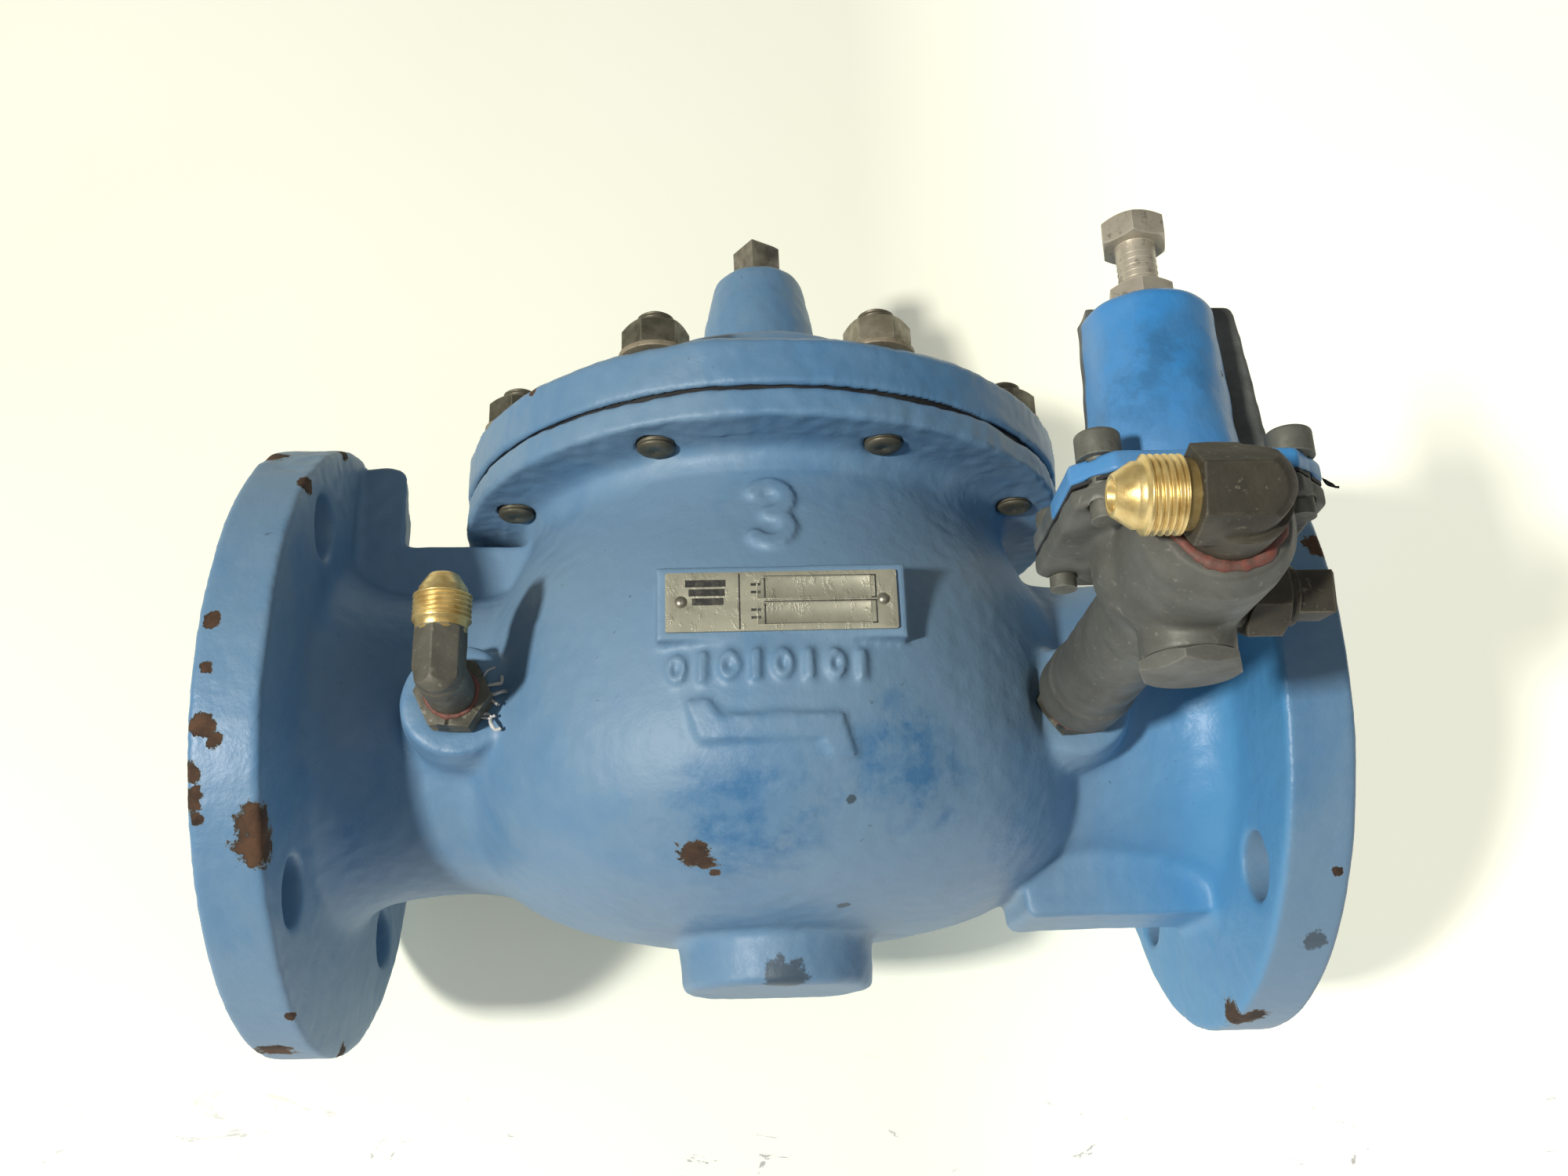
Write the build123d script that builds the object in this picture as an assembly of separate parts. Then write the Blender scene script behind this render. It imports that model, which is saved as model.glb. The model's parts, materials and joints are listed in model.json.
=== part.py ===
"""Pilot-operated diaphragm control valve, 3 inch, flanged, built as separate pieces.

Millimetres. +X is the flow direction, +Z is up through the cover, and the pilot side is -Y.
The pieces are shaped about the stem axis, then moved so that the origin is the centre of the
inlet flange face. Every moving piece is at rest: valve closed, pilot closed.
"""

import math
import os

from build123d import *

os.makedirs("parts", exist_ok=True)

CLEAR = 0.05  # gap between faces that touch or run on each other
UP = (Align.CENTER, Align.CENTER, Align.MIN)  # solids grow from their base
FRONT = Rot(90, 0, 0)  # turns +Z to the pilot side (-Y)
INWARD = Rot(-90, 0, 0)  # turns +Z to the back (+Y)
RIGHT = Rot(0, 90, 0)  # turns +Z downstream (+X)
LEFT = Rot(0, -90, 0)  # turns +Z upstream (-X)

# Class 150 pipe ends, 3 inch
FACE_TO_FACE = 304.8
FLANGE_R = 190.5 / 2
FLANGE_T = 19.05
BOLT_CIRCLE_R = 152.4 / 2
INLET_HOLE_R = 19.05 / 2
OUTLET_HOLE_R = INLET_HOLE_R + 0.2
BORE_R = 38.0
END_X = FACE_TO_FACE / 2
BACK_X = END_X - FLANGE_T

# Cover joint
RIM_R = 99.6
BODY_RIM_Z = (66.9, 75.6)
DIAPHRAGM_Z = (75.65, 78.65)
COVER_RIM_Z = (77.1, 91.4)
COVER_SEAT_Z = 94.3  # spot faces the washers sit on
CLAMP_R = 97.8  # edge of the recess that takes the diaphragm rim
BEARING_R = 11.0
PLUG_R = 8.5
PLUG_HEAD = 12.0
BOSS_TOP_Z = 170.5
PLUG_TOP_Z = 186.5
STUD_COUNT = 8
STUD_CIRCLE_R = 86.3
STUD_R = 5.55
STUD_Z = (65.2, 109.5)
WASHER_T = 1.7
NUT_AF = 17.5
NUT_T = 8.7

# Body casting
NECK_R = 47.2
THROAT_R = 66.0
CHAMBER_R = 62.0
PARTITION_Z = 6.0  # half thickness of the wall that carries the seat
DIVIDER_X = (64.0, 74.0)  # near and far face of the walls between the two passages
PAD_HALF_W = 19.0
PAD_Z = 62.0
LUG_X = 118.0
LUG_DRAFT = 7.0  # taper of the lug's inner face from front to back
LUG_Z = 90.0
RAISE = 1.6  # height of the cast marks
INLET_TAP = (-90.0, -2.6)  # x, z of the gauge tapping beside each flange
OUTLET_TAP = (86.0, -6.5)
TAP_FACE_Y = -62.0
TAP_R = 8.6

# Data plate
PLATE_SIZE = (61.4, 16.5, 0.8)
PLATE_X = 1.2
PLATE_Z = 11.9
PLATE_FACE_Y = -98.45
RIVET_X = (-25.4, 28.2)
RIVET_R = 0.8

# Seat and disc stack
SEAT_LIP_Z = 14.0
STEM_R = 8.0
STEM_TOP_Z = 135.0
BEARING_Z = (112.0, 140.0)
STEM_SHOULDER_Z = 7.95
HUB_Z = 47.5  # underside of the diaphragm at its centre, valve closed
WASHER_TOP_Z = 55.0

# Fittings
FLARE_R = 15.875 / 2  # 5/8-18 thread of a 3/8 tube flare
FLARE_NOSE_R = 6.6
FLARE_TIP_R = 3.9
FLARE_BORE_R = 3.1
INLET_ELBOW_Y = -88.0
INLET_HEX_AF = 19.05
OUTLET_HEX_AF = 20.6
SIDE_HEX_AF = 15.9
SIDE_HEX_T = 9.0

# Pilot, about its own vertical axis
PILOT_X, PORT_Z = OUTLET_TAP
PILOT_Y = -163.6
PILOT_FLANGE = 54.0
PILOT_CHAMFER = 8.0
PILOT_BODY_FLANGE_Z = (0.5, 5.3)
BONNET_FLANGE_Z = (6.2, 11.0)
BONNET_R = (17.2, 15.3)  # foot and top of the barrel
BONNET_TOP_Z = 57.4
SCREW_OFFSET = 20.5
SCREW_R = 3.1
ADJUST_R = 9.525 / 2  # 3/8-16 adjusting screw
ADJUST_HEX_AF = 14.3
ADJUST_END_Z = 44.05
ADJUST_HEAD_Z = (76.5, 82.85)
LOCK_NUT_Z = (57.45, 64.5)
FRONT_PORT_Y = -196.0
REAR_PORT_Y = -70.6
ELBOW_Y = -206.0
SIDE_PORT_Z = -12.5
SIDE_BORE_R = 6.6
PILOT_CHAMBER_R = 8.0
PILOT_RECESS_Z = -2.0
SIDE_FACE = 12.6  # pilot axis to the face of the side port
SEAT_INSERT_R = 7.9
PILOT_HUB_Z = 1.85  # underside of the pilot diaphragm at its centre
PILOT_SPRING_Z = (4.8, 37.9)
RIB_OFFSET = (3.0, 3.5)
RIB_R = (24.0, 19.0)  # foot and top
RIB_TOP_Z = 61.0
ADJUST_TURN = 14.0


def rod(radius, z0, z1):
    return Pos(0, 0, z0) * Cylinder(radius, z1 - z0, align=UP)


def ring(outer, inner, z0, z1):
    return rod(outer, z0, z1) - rod(inner, z0 - 1, z1 + 1)


def cone(r0, r1, z0, z1):
    return Pos(0, 0, z0) * Cone(r0, r1, z1 - z0, align=UP)


def block(x0, x1, y0, y1, z0, z1):
    centre = Pos((x0 + x1) / 2, (y0 + y1) / 2, (z0 + z1) / 2)
    return centre * Box(x1 - x0, y1 - y0, z1 - z0)


def hexagon(across_flats, z0, z1, turn=0.0):
    """Hexagonal prism with both ends chamfered the way turned nuts are."""
    corner_r = across_flats / math.sqrt(3)
    outline = Rot(0, 0, turn) * RegularPolygon(corner_r, 6)
    prism = Pos(0, 0, z0) * extrude(outline, z1 - z0)
    cut = corner_r - across_flats / 2
    half = (z1 - z0) / 2
    bevel = cone(corner_r - cut, corner_r - cut + half / math.tan(math.radians(30)), z0, z0 + half)
    top = cone(corner_r - cut + half / math.tan(math.radians(30)), corner_r - cut, z1 - half, z1)
    return prism & (bevel + top)


def lathe(points):
    """Solid of revolution about Z from (radius, z) points."""
    outline = make_face(Polyline(*[(r, 0, z) for r, z in points], close=True))
    return revolve(outline, Axis.Z, 360)


def lathe_spline(points, closing):
    """Solid of revolution: a smooth (radius, z) curve closed by straight (radius, z) points."""
    curve = Spline(*[(r, 0, z) for r, z in points])
    straight = [points[-1], *closing, points[0]]
    edges = [Line((a[0], 0, a[1]), (b[0], 0, b[1])) for a, b in zip(straight, straight[1:])]
    return revolve(make_face([curve, *edges]), Axis.Z, 360)


def spring(mean_r, wire_r, z0, z1, turns):
    """Coil spring with flat-ground ends between z0 and z1."""
    low = z0 + wire_r * 0.5
    high = z1 - wire_r * 0.5
    path = Pos(0, 0, low) * Helix((high - low) / turns, high - low, mean_r)
    section = Plane(path @ 0, z_dir=path % 0) * Circle(wire_r)
    coil = sweep(section, path)
    return coil & rod(mean_r + 2 * wire_r, z0, z1)


def around(piece, count, radius):
    """Copies of a piece on a circle, the first one half a step from the X axis."""
    step = 360 / count
    return [Rot(0, 0, step * (i + 0.5)) * Pos(radius, 0, 0) * piece for i in range(count)]


def save(name, piece):
    """Write one piece, or a list of identical pieces, in the frame of the whole valve."""
    solids = piece if isinstance(piece, list) else [piece]
    moved = [Pos(END_X, 0, 0) * s for s in solids]
    export_step(Compound(children=moved) if len(moved) > 1 else moved[0], f"parts/{name}.step")


# ---------------------------------------------------------------- body casting


def bowl(extra=0.0):
    """Round outside of the body, grown by extra for the raised marks."""
    side = [(77, 66.9), (79.5, 58), (86, 42), (93, 26), (97.8, 8), (99.2, -8)]
    side += [(97.6, -24), (90.5, -40), (77, -52), (58, -60), (34, -64)]
    grown = [(r + extra, z) for r, z in side]
    return lathe_spline(grown, [(0, side[-1][1]), (0, side[0][1])])


def end_flange(hole_r):
    """Pipe flange on the +X end, with its bolt holes on the diagonals."""
    disc = RIGHT * rod(FLANGE_R, BACK_X, END_X)
    disc = chamfer(disc.edges().filter_by(GeomType.CIRCLE), 1.0)
    hole = RIGHT * rod(hole_r, BACK_X - 1, END_X + 1)
    for i in range(4):
        angle = math.radians(45 + 90 * i)
        across = Pos(0, BOLT_CIRCLE_R * math.cos(angle), BOLT_CIRCLE_R * math.sin(angle))
        disc -= across * hole
    return disc


def neck():
    """Outside of the +X pipe neck, flared into the flange and into the bowl."""
    profile = [(56, 50), (52, 66), (48.5, 82), (NECK_R, 96), (48.2, 112), (51, 124), (59, 133.5)]
    return RIGHT * lathe_spline(profile, [(0, 133.5), (0, 50)])


def foot_pad():
    """Flat-faced pad cast along the underside of the +X neck."""
    outline = [(70, -20), (76, -PAD_Z), (BACK_X + 1, -PAD_Z), (BACK_X + 1, -20)]
    face = make_face(Polyline(*[(x, 0, z) for x, z in outline], close=True))
    pad = extrude(face, PAD_HALF_W, both=True)
    return fillet(pad.edges().filter_by(Axis.Y).sort_by(Axis.Z)[:2], 3)


def flange_lug():
    """Block that ties the top pad to the back of the inlet flange."""
    front, back = -PAD_HALF_W, PAD_HALF_W
    root = -BACK_X - 1
    plan = [(root, front), (-LUG_X, front), (-LUG_X - LUG_DRAFT, back), (root, back)]
    outline = make_face(Polyline(*[(x, y, 20) for x, y in plan], close=True))
    lug = extrude(outline, LUG_Z - 20, dir=(0, 0, 1))
    corner = lug.edges().group_by(Axis.Z)[-1].sort_by(Axis.X)[-1]
    return fillet(corner, 5)


def tap_boss(tap):
    """Round boss on the flank that carries one tapped hole."""
    x, z = tap
    boss = FRONT * (rod(17.5, 30, 54) + cone(17.5, 16, 54, -TAP_FACE_Y))
    return Pos(x, 0, z) * boss


def numeral_three(height, stroke):
    """Size mark: an upright 3 with rounded ends, centred on the origin of the sketch plane."""
    r = (height - stroke) / 4
    upper = SlotArc(CenterArc((0, r), r, -90, 235), stroke)
    lower = SlotArc(CenterArc((0, -r), r, 90, -235), stroke)
    return upper + lower


def flow_band(reach, rise, width):
    """Raised band that comes in high on the left, runs along and turns down on the right."""
    lean = rise * 0.45
    run = reach - lean
    half = width / 2
    points = [(-reach - half, rise), (-reach + half, rise), (-run + half, half), (run + half, half)]
    points += [(reach + half, -rise), (reach - half, -rise), (run - half, -half), (-run - half, -half)]
    return make_face(Polyline(*[(x, y, 0) for x, y in points], close=True))


def tally_marks(count, pitch):
    """Row of plain ovals and bars, centred on the origin of the sketch plane."""
    oval = scale(Circle(4.0) - Circle(2.2), (0.65, 1, 1))
    bar = Rectangle(2.2, 8.0)
    row = [Pos((i - (count - 1) / 2) * pitch, 0) * (bar if i % 2 else oval) for i in range(count)]
    return row


def cast_marks():
    """Raised size numeral, flow band and tally marks that stand RAISE above the bowl."""
    wall = Plane(origin=(0, -60, 0), x_dir=(1, 0, 0), z_dir=(0, -1, 0))
    sketches = [Pos(-1, 43) * numeral_three(25, 4.2), Pos(-2.5, -22) * flow_band(19.0, 7.5, 6.0)]
    sketches += [Pos(-2.5, -5.5) * mark for mark in tally_marks(8, 7.0)]
    skin = bowl(RAISE)
    return [extrude(wall * sketch, 60) & skin for sketch in sketches]


def passages():
    """Inlet passage under the seat, outlet passage over it."""
    near, far = DIVIDER_X
    lower = lathe_spline(
        [(88, -PARTITION_Z), (88.5, -14), (86, -28), (78, -40), (62, -49), (36, -53)],
        [(0, -53), (0, -PARTITION_Z)],
    )
    lower -= block(near, 120, -120, 120, -80, 20)
    half = RIGHT * rod(BORE_R, 30, far)
    inlet = lower + LEFT * rod(BORE_R, far, END_X + 1)
    inlet += (LEFT * rod(BORE_R, 30, far)) & block(-120, 0, -80, 80, -80, -PARTITION_Z)
    outlet = rod(CHAMBER_R, PARTITION_Z, 60) + cone(CHAMBER_R, THROAT_R, 60, 66)
    outlet += rod(THROAT_R, 66, 80) + RIGHT * rod(BORE_R, far, END_X + 1)
    outlet += half & block(0, 120, -80, 80, PARTITION_Z, 80)
    return inlet, outlet


def valve_body():
    rim = rod(RIM_R, *BODY_RIM_Z)
    rim = chamfer(rim.edges().filter_by(GeomType.CIRCLE), 1.0)
    foot = cone(29, 30.5, -80, -55)
    foot = fillet(foot.edges().group_by(Axis.Z)[0], 2.0)
    body = bowl() + rim + cone(77.5, 80.4, 57, 67) + foot
    for side, hole_r in ((0, OUTLET_HOLE_R), (180, INLET_HOLE_R)):
        body += Rot(0, 0, side) * neck()
        body += Rot(0, 0, side) * end_flange(hole_r)
    body += foot_pad()
    body += Rot(0, 180, 0) * foot_pad()
    body += flange_lug()
    body += tap_boss(INLET_TAP)
    body += tap_boss(OUTLET_TAP)
    body += block(-32, 34.5, -98.4, -80, 1.6, 22.2)
    for mark in cast_marks():
        body += mark
    for passage in passages():
        body -= passage
    body -= rod(44.05, -PARTITION_Z - 1, PARTITION_Z + 1)
    for x, z in (INLET_TAP, OUTLET_TAP):
        body -= Pos(x, 0, z) * FRONT * (rod(TAP_R, 20, 70) + rod(14.5, -TAP_FACE_Y, 90))
    for hole in around(rod(STUD_R + CLEAR, 60, 80), STUD_COUNT, STUD_CIRCLE_R):
        body -= hole
    for x in RIVET_X:
        body -= Pos(x, 0, PLATE_Z) * FRONT * rod(RIVET_R + CLEAR, 90, 100)
    return body


# ---------------------------------------------------------------- nameplate

def nameplate():
    """Blank data plate; the raised frames mark where the fields are."""
    width, height, thick = PLATE_SIZE
    plate = extrude(RectangleRounded(width, height, 0.6), thick)
    plate += Pos(8.6, 3.6, thick) * extrude(Rectangle(30.4, 6.4) - Rectangle(29.8, 5.8), 0.1)
    plate += Pos(8.6, -3.6, thick) * extrude(Rectangle(30.4, 6.4) - Rectangle(29.8, 5.8), 0.1)
    for x in RIVET_X:
        plate -= Pos(x - PLATE_X, 0, -1) * Cylinder(RIVET_R + CLEAR, 4, align=UP)
    return Pos(PLATE_X, PLATE_FACE_Y, PLATE_Z) * FRONT * plate


def rivet():
    """Drive rivet with a low domed head."""
    head_z = PLATE_SIZE[2] + CLEAR
    sphere_r = 2.0
    dome = Pos(0, 0, head_z - sphere_r + 0.95) * Sphere(sphere_r) & rod(3, head_z, head_z + 2)
    return dome + rod(RIVET_R, -6, head_z)


# ---------------------------------------------------------------- cover


def cover():
    """Cover casting: bolted rim, raised crown, tall boss that guides the stem."""
    rim_low, rim_high = COVER_RIM_Z
    outside = [(0, BOSS_TOP_Z), (12.5, BOSS_TOP_Z), (15.2, BOSS_TOP_Z - 1.0)]
    outside += [(16.4, BOSS_TOP_Z - 3.4), (17.8, 159), (19.4, 151), (21.5, 136), (25, 127), (32, 124)]
    outside += [(50, 122), (56, 118.4), (70, COVER_SEAT_Z + 1), (73, COVER_SEAT_Z), (93, COVER_SEAT_Z)]
    outside += [(RIM_R - 2, rim_high + 1), (RIM_R, rim_high - 1), (RIM_R, rim_low + 1)]
    outside += [(RIM_R - 1, rim_low), (0, rim_low)]
    recess = rod(CLAMP_R, rim_low - 1, DIAPHRAGM_Z[1] + CLEAR)
    inside = [(0, 70), (THROAT_R, 70), (THROAT_R, 79), (60, 94), (44, 110), (16, 110)]
    inside += [(16, BEARING_Z[0] - 1), (0, BEARING_Z[0] - 1)]
    casting = lathe(outside) - recess - lathe(inside)
    casting -= rod(BEARING_R + CLEAR, BEARING_Z[0] - 2, BEARING_Z[1] + 0.1)
    casting -= rod(STEM_R + 1.5, BEARING_Z[1], STEM_TOP_Z + 22)
    casting -= rod(PLUG_R + CLEAR, STEM_TOP_Z + 21, BOSS_TOP_Z + 1)
    for hole in around(rod(STUD_R + CLEAR, 70, 120), STUD_COUNT, STUD_CIRCLE_R):
        casting -= hole
    for seat in around(rod(12.2, COVER_SEAT_Z, 112), STUD_COUNT, STUD_CIRCLE_R):
        casting -= seat
    return casting


def stud():
    body = rod(STUD_R, *STUD_Z)
    return chamfer(body.edges().filter_by(GeomType.CIRCLE), 0.9)


def washer():
    return ring(11.0, STUD_R + CLEAR, COVER_SEAT_Z + CLEAR, COVER_SEAT_Z + CLEAR + WASHER_T)


def cover_nut():
    base = COVER_SEAT_Z + WASHER_T + 2 * CLEAR
    return hexagon(NUT_AF, base, base + NUT_T) - rod(STUD_R + CLEAR, 90, 120)


def cover_plug():
    """Square-head pipe plug in the top of the boss."""
    half = PLUG_HEAD / 2
    head = block(-half, half, -half, half, BOSS_TOP_Z + 1, PLUG_TOP_Z)
    head = chamfer(head.edges().group_by(Axis.Z)[-1], 1.4)
    return rod(PLUG_R, BOSS_TOP_Z - 10, BOSS_TOP_Z + 1.5) + Rot(0, 0, 33) * head


def cover_bearing():
    return ring(BEARING_R, STEM_R + CLEAR, *BEARING_Z)


def diaphragm():
    """Rubber diaphragm: clamped rim, rolled cone, flat centre held on the stem."""
    low, high = DIAPHRAGM_Z
    thick = high - low
    outline = [(STEM_R + 0.1, HUB_Z), (50, HUB_Z), (54, HUB_Z + 2), (62, low - 3), (65.2, low)]
    outline += [(CLAMP_R - 0.3, low), (CLAMP_R - 0.3, high), (63.6, high)]
    outline += [(59.6, low - 1.5), (51.5, HUB_Z + 4.2), (49, HUB_Z + thick)]
    outline += [(STEM_R + 0.1, HUB_Z + thick)]
    sheet = lathe(outline)
    for hole in around(rod(STUD_R + 0.3, 70, 85), STUD_COUNT, STUD_CIRCLE_R):
        sheet -= hole
    return sheet


# ---------------------------------------------------------------- seat and disc stack


def seat_ring():
    """Screwed seat with a raised lip and a three-arm spider that guides the stem."""
    flange = ring(50, BORE_R - 1, PARTITION_Z + CLEAR, 12)
    lip = ring(41, BORE_R - 1, 11, SEAT_LIP_Z)
    skirt = ring(44, BORE_R - 1, -14, 12)
    seat = flange + lip + skirt + ring(13, STEM_R + CLEAR, -26, -10)
    for i in range(3):
        seat += Rot(0, 0, 30 + 120 * i) * block(12, 40, -3, 3, -14, -10)
    return seat


def stem():
    """Guided rod with a shoulder under the disc guide and a thread for the stem nut."""
    body = rod(STEM_R, -30, STEM_TOP_Z) + rod(12, STEM_SHOULDER_Z - 5, STEM_SHOULDER_Z)
    return chamfer(body.edges().group_by(Axis.Z)[-1], 1)


def disc_guide():
    """Fluted skirt that keeps the disc on the seat axis."""
    wall = ring(36.4, 31, -3.5, 14.3) + ring(36.4, STEM_R + CLEAR, 8, 14.3)
    for i in range(8):
        wall -= Rot(0, 0, 45 * i) * block(25, 40, -7, 7, -5, 5)
    return wall


def valve_disc():
    """Rubber ring that closes on the seat lip."""
    return ring(44.5, 30.5, SEAT_LIP_Z + 0.35, SEAT_LIP_Z + 6.3)


def disc_retainer():
    """Cup that holds the disc and carries the diaphragm on its top face."""
    cup = rod(48, SEAT_LIP_Z + 0.35, 27) + cone(48, 30, 27, 40) + rod(47, 40, HUB_Z - CLEAR)
    cup -= rod(44.55, 13, SEAT_LIP_Z + 6.35)
    return cup + rod(30.4, SEAT_LIP_Z + 0.35, 22) - rod(STEM_R + CLEAR, 10, 60)


def diaphragm_washer():
    base = HUB_Z + DIAPHRAGM_Z[1] - DIAPHRAGM_Z[0] + CLEAR
    plate = ring(48, STEM_R + CLEAR, base, WASHER_TOP_Z)
    return chamfer(plate.edges().filter_by(GeomType.CIRCLE).sort_by(Axis.Z)[-1], 1) + (
        ring(19, 17.5, WASHER_TOP_Z - 0.5, WASHER_TOP_Z + 2)
    )


def stem_nut():
    base = WASHER_TOP_Z + CLEAR
    return hexagon(28, base, base + 12) - rod(STEM_R + CLEAR, 50, 80)


def main_spring():
    return spring(23.0, 1.8, WASHER_TOP_Z + CLEAR, 110 - CLEAR, 5)


# ---------------------------------------------------------------- control-line fittings


def flare_end(base):
    """Male 45 degree flare from its relief groove outwards, along +Z."""
    thread = rod(FLARE_R, base + 1.8, base + 9.8)
    nose = rod(FLARE_NOSE_R, base + 9.7, base + 11.2)
    nose += cone(FLARE_NOSE_R, FLARE_TIP_R, base + 11.2, base + 15.2)
    return rod(FLARE_R - 0.9, base - 0.5, base + 2) + thread + nose


def flare_elbow(across_flats, turn, arm, leg_r, leg, shank):
    """Forged elbow: hexagonal arm along +Z with the flare, round leg along +Y.

    The arm's far end is rounded about the leg and its corners are taken off by a sphere.
    """
    corner_r = across_flats / math.sqrt(3)
    forging = extrude(RegularPolygon(corner_r, 6), arm + corner_r)
    forging = Rot(0, 0, turn) * Pos(0, 0, -corner_r) * forging
    heel = INWARD * rod(across_flats / 2, -corner_r, corner_r) & Sphere(corner_r * 1.04)
    envelope = heel + rod(corner_r + CLEAR, 0, arm)
    elbow = (forging & envelope) + flare_end(arm)
    elbow += INWARD * rod(leg_r, 0, leg)
    elbow += INWARD * rod(shank[0], leg - 0.5, leg + shank[1])
    elbow -= rod(FLARE_BORE_R, 0, arm + 20)
    return elbow - INWARD * rod(FLARE_BORE_R, 0, leg + shank[1] + 1)


def inlet_bushing():
    """Hexagon bushing in the upstream tapping."""
    x, z = INLET_TAP
    head = hexagon(INLET_HEX_AF, CLEAR, 8, turn=-4)
    fitting = head + rod(TAP_R - CLEAR, -16, 0.2) - rod(6.05, -17, 9)
    return Pos(x, TAP_FACE_Y, z) * FRONT * fitting


def inlet_elbow():
    """Elbow screwed into the upstream bushing, flare pointing up."""
    x, z = INLET_TAP
    leg = TAP_FACE_Y - INLET_ELBOW_Y - 8.1
    elbow = flare_elbow(12.7, 23, 12.4, 6.8, leg, (6.0, 10))
    return Pos(x, INLET_ELBOW_Y, z) * elbow


def outlet_nipple():
    """Hexagon nipple between the downstream tapping and the pilot arm."""
    head = hexagon(OUTLET_HEX_AF, CLEAR, 8.4, turn=4)
    fitting = head + rod(TAP_R - CLEAR, -16, 0.2) + rod(8.0, 8.2, 20) - rod(5.5, -17, 21)
    return Pos(PILOT_X, TAP_FACE_Y, PORT_Z) * FRONT * fitting


def pilot_elbow():
    """Elbow in the front port of the pilot, flare pointing upstream."""
    leg = FRONT_PORT_Y - ELBOW_Y - 0.1
    elbow = flare_elbow(17.5, -16, 10.4, 10.4, leg, (8.0, 12))
    return Pos(PILOT_X, ELBOW_Y, PORT_Z) * LEFT * elbow


def side_bushing():
    """Hexagon bushing in the side port of the pilot."""
    head = hexagon(SIDE_HEX_AF, CLEAR, SIDE_HEX_T, turn=0)
    fitting = head + rod(SIDE_BORE_R - CLEAR, -3.6, 0.2) - rod(5.05, -7, 11)
    return Pos(PILOT_X + SIDE_FACE, PILOT_Y, SIDE_PORT_Z) * RIGHT * fitting


def side_plug():
    """Square-head plug in the side bushing."""
    head = chamfer(block(-4.75, 4.75, -4.75, 4.75, 2.2, 10.9).edges().group_by(Axis.Z)[-1], 0.7)
    plug = rod(5.0, -8, 0.5) + rod(6.6, CLEAR, 2.3) + Rot(0, 0, 7) * head
    return Pos(PILOT_X + SIDE_FACE + SIDE_HEX_T, PILOT_Y, SIDE_PORT_Z) * RIGHT * plug


# ---------------------------------------------------------------- pilot


def at_pilot(piece):
    return Pos(PILOT_X, PILOT_Y, 0) * piece


def pilot_outline(shrink=0.0):
    """Square outline of the pilot flanges with cut corners."""
    side = PILOT_FLANGE - 2 * shrink
    square = Rectangle(side, side)
    return chamfer(square.vertices(), PILOT_CHAMFER - shrink)


def pilot_plate(z0, z1, shrink=0.0):
    plate = Pos(0, 0, z0) * extrude(pilot_outline(shrink), z1 - z0)
    return plate


def screw_places(piece):
    d = SCREW_OFFSET
    return [Pos(x, y, 0) * piece for x in (-d, d) for y in (-d, d)]


def pilot_body():
    """Pilot casting: square flange, round chest, front, rear, side and bottom ports."""
    low, high = PILOT_BODY_FLANGE_Z
    front = PILOT_Y - FRONT_PORT_Y
    rear = REAR_PORT_Y - PILOT_Y
    side = [(18.5, low + 1), (18.5, -8), (16.5, -13.5), (11.6, -17), (10.4, -18.5), (10.4, -26.4)]
    chest = lathe([(0, low + 1), *side, (0, -26.4)])
    face = pilot_plate(low, high)
    face = fillet(face.edges().group_by(Axis.Z)[0], 1.0)
    port = FRONT * (rod(16.5, 0, front - 5) + cone(16.5, 13.5, front - 5, front))
    port = (Pos(0, 0, PORT_Z) * port) & block(-40, 40, -60, 60, -60, low + 1)
    arm = INWARD * (rod(11.7, 0, rear) + rod(12.4, rear - 14, rear - 0.5))
    body = chest + face + port + Pos(0, 0, PORT_Z) * arm
    body -= Pos(0, 0, SIDE_PORT_Z) * RIGHT * rod(10.2, SIDE_FACE, 40)
    body -= rod(PILOT_CHAMBER_R, -9.7, high) + rod(16, PILOT_RECESS_Z, high + 1)
    body -= rod(SEAT_INSERT_R + CLEAR, -14.1, -9.5)
    body -= rod(7.0, -27, -14)
    front_bore = rod(5.5, 4, front - 11) + rod(8.05, front - 13, front + 1)
    rear_bore = rod(3.5, 11, rear - 10) + rod(8.05, rear - 13, rear + 1)
    body -= Pos(0, 0, PORT_Z) * FRONT * front_bore
    body -= Pos(0, 0, PORT_Z) * INWARD * rear_bore
    body -= Pos(0, 12, 0) * rod(1.8, -17, PORT_Z) + Pos(0, 0, -16) * INWARD * rod(1.6, 4, 12)
    body -= Pos(0, 0, SIDE_PORT_Z) * RIGHT * rod(SIDE_BORE_R, SIDE_FACE - 4, SIDE_FACE + 1)
    body -= Pos(0, 0, PORT_Z - 1) * RIGHT * rod(2.0, 6, 10.5)
    for hole in screw_places(rod(SCREW_R + CLEAR, -10, 20)):
        body -= hole
    return at_pilot(body)


def pilot_bottom_plug():
    """Low hexagon plug that closes the lower chamber."""
    head = hexagon(20.6, -30, -26.5, turn=8)
    return at_pilot(head + rod(6.95, -27, -22))


def pilot_seat():
    insert = ring(SEAT_INSERT_R, 2.5, -14, -10.6) + ring(3.6, 2.5, -11, -9.75)
    return at_pilot(insert)


def pilot_stem():
    """Yoke rod of the pilot: disc cup below, diaphragm flange and thread above."""
    rod_part = rod(2.5, -6, 10.4) + rod(8, -0.2, PILOT_HUB_Z - CLEAR)
    cup = rod(5.6, -9.2, -5) - rod(4.6, -10, -8.1)
    return at_pilot(rod_part + cup)


def pilot_disc():
    return at_pilot(rod(4.55, -9.7, -8.15))


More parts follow.
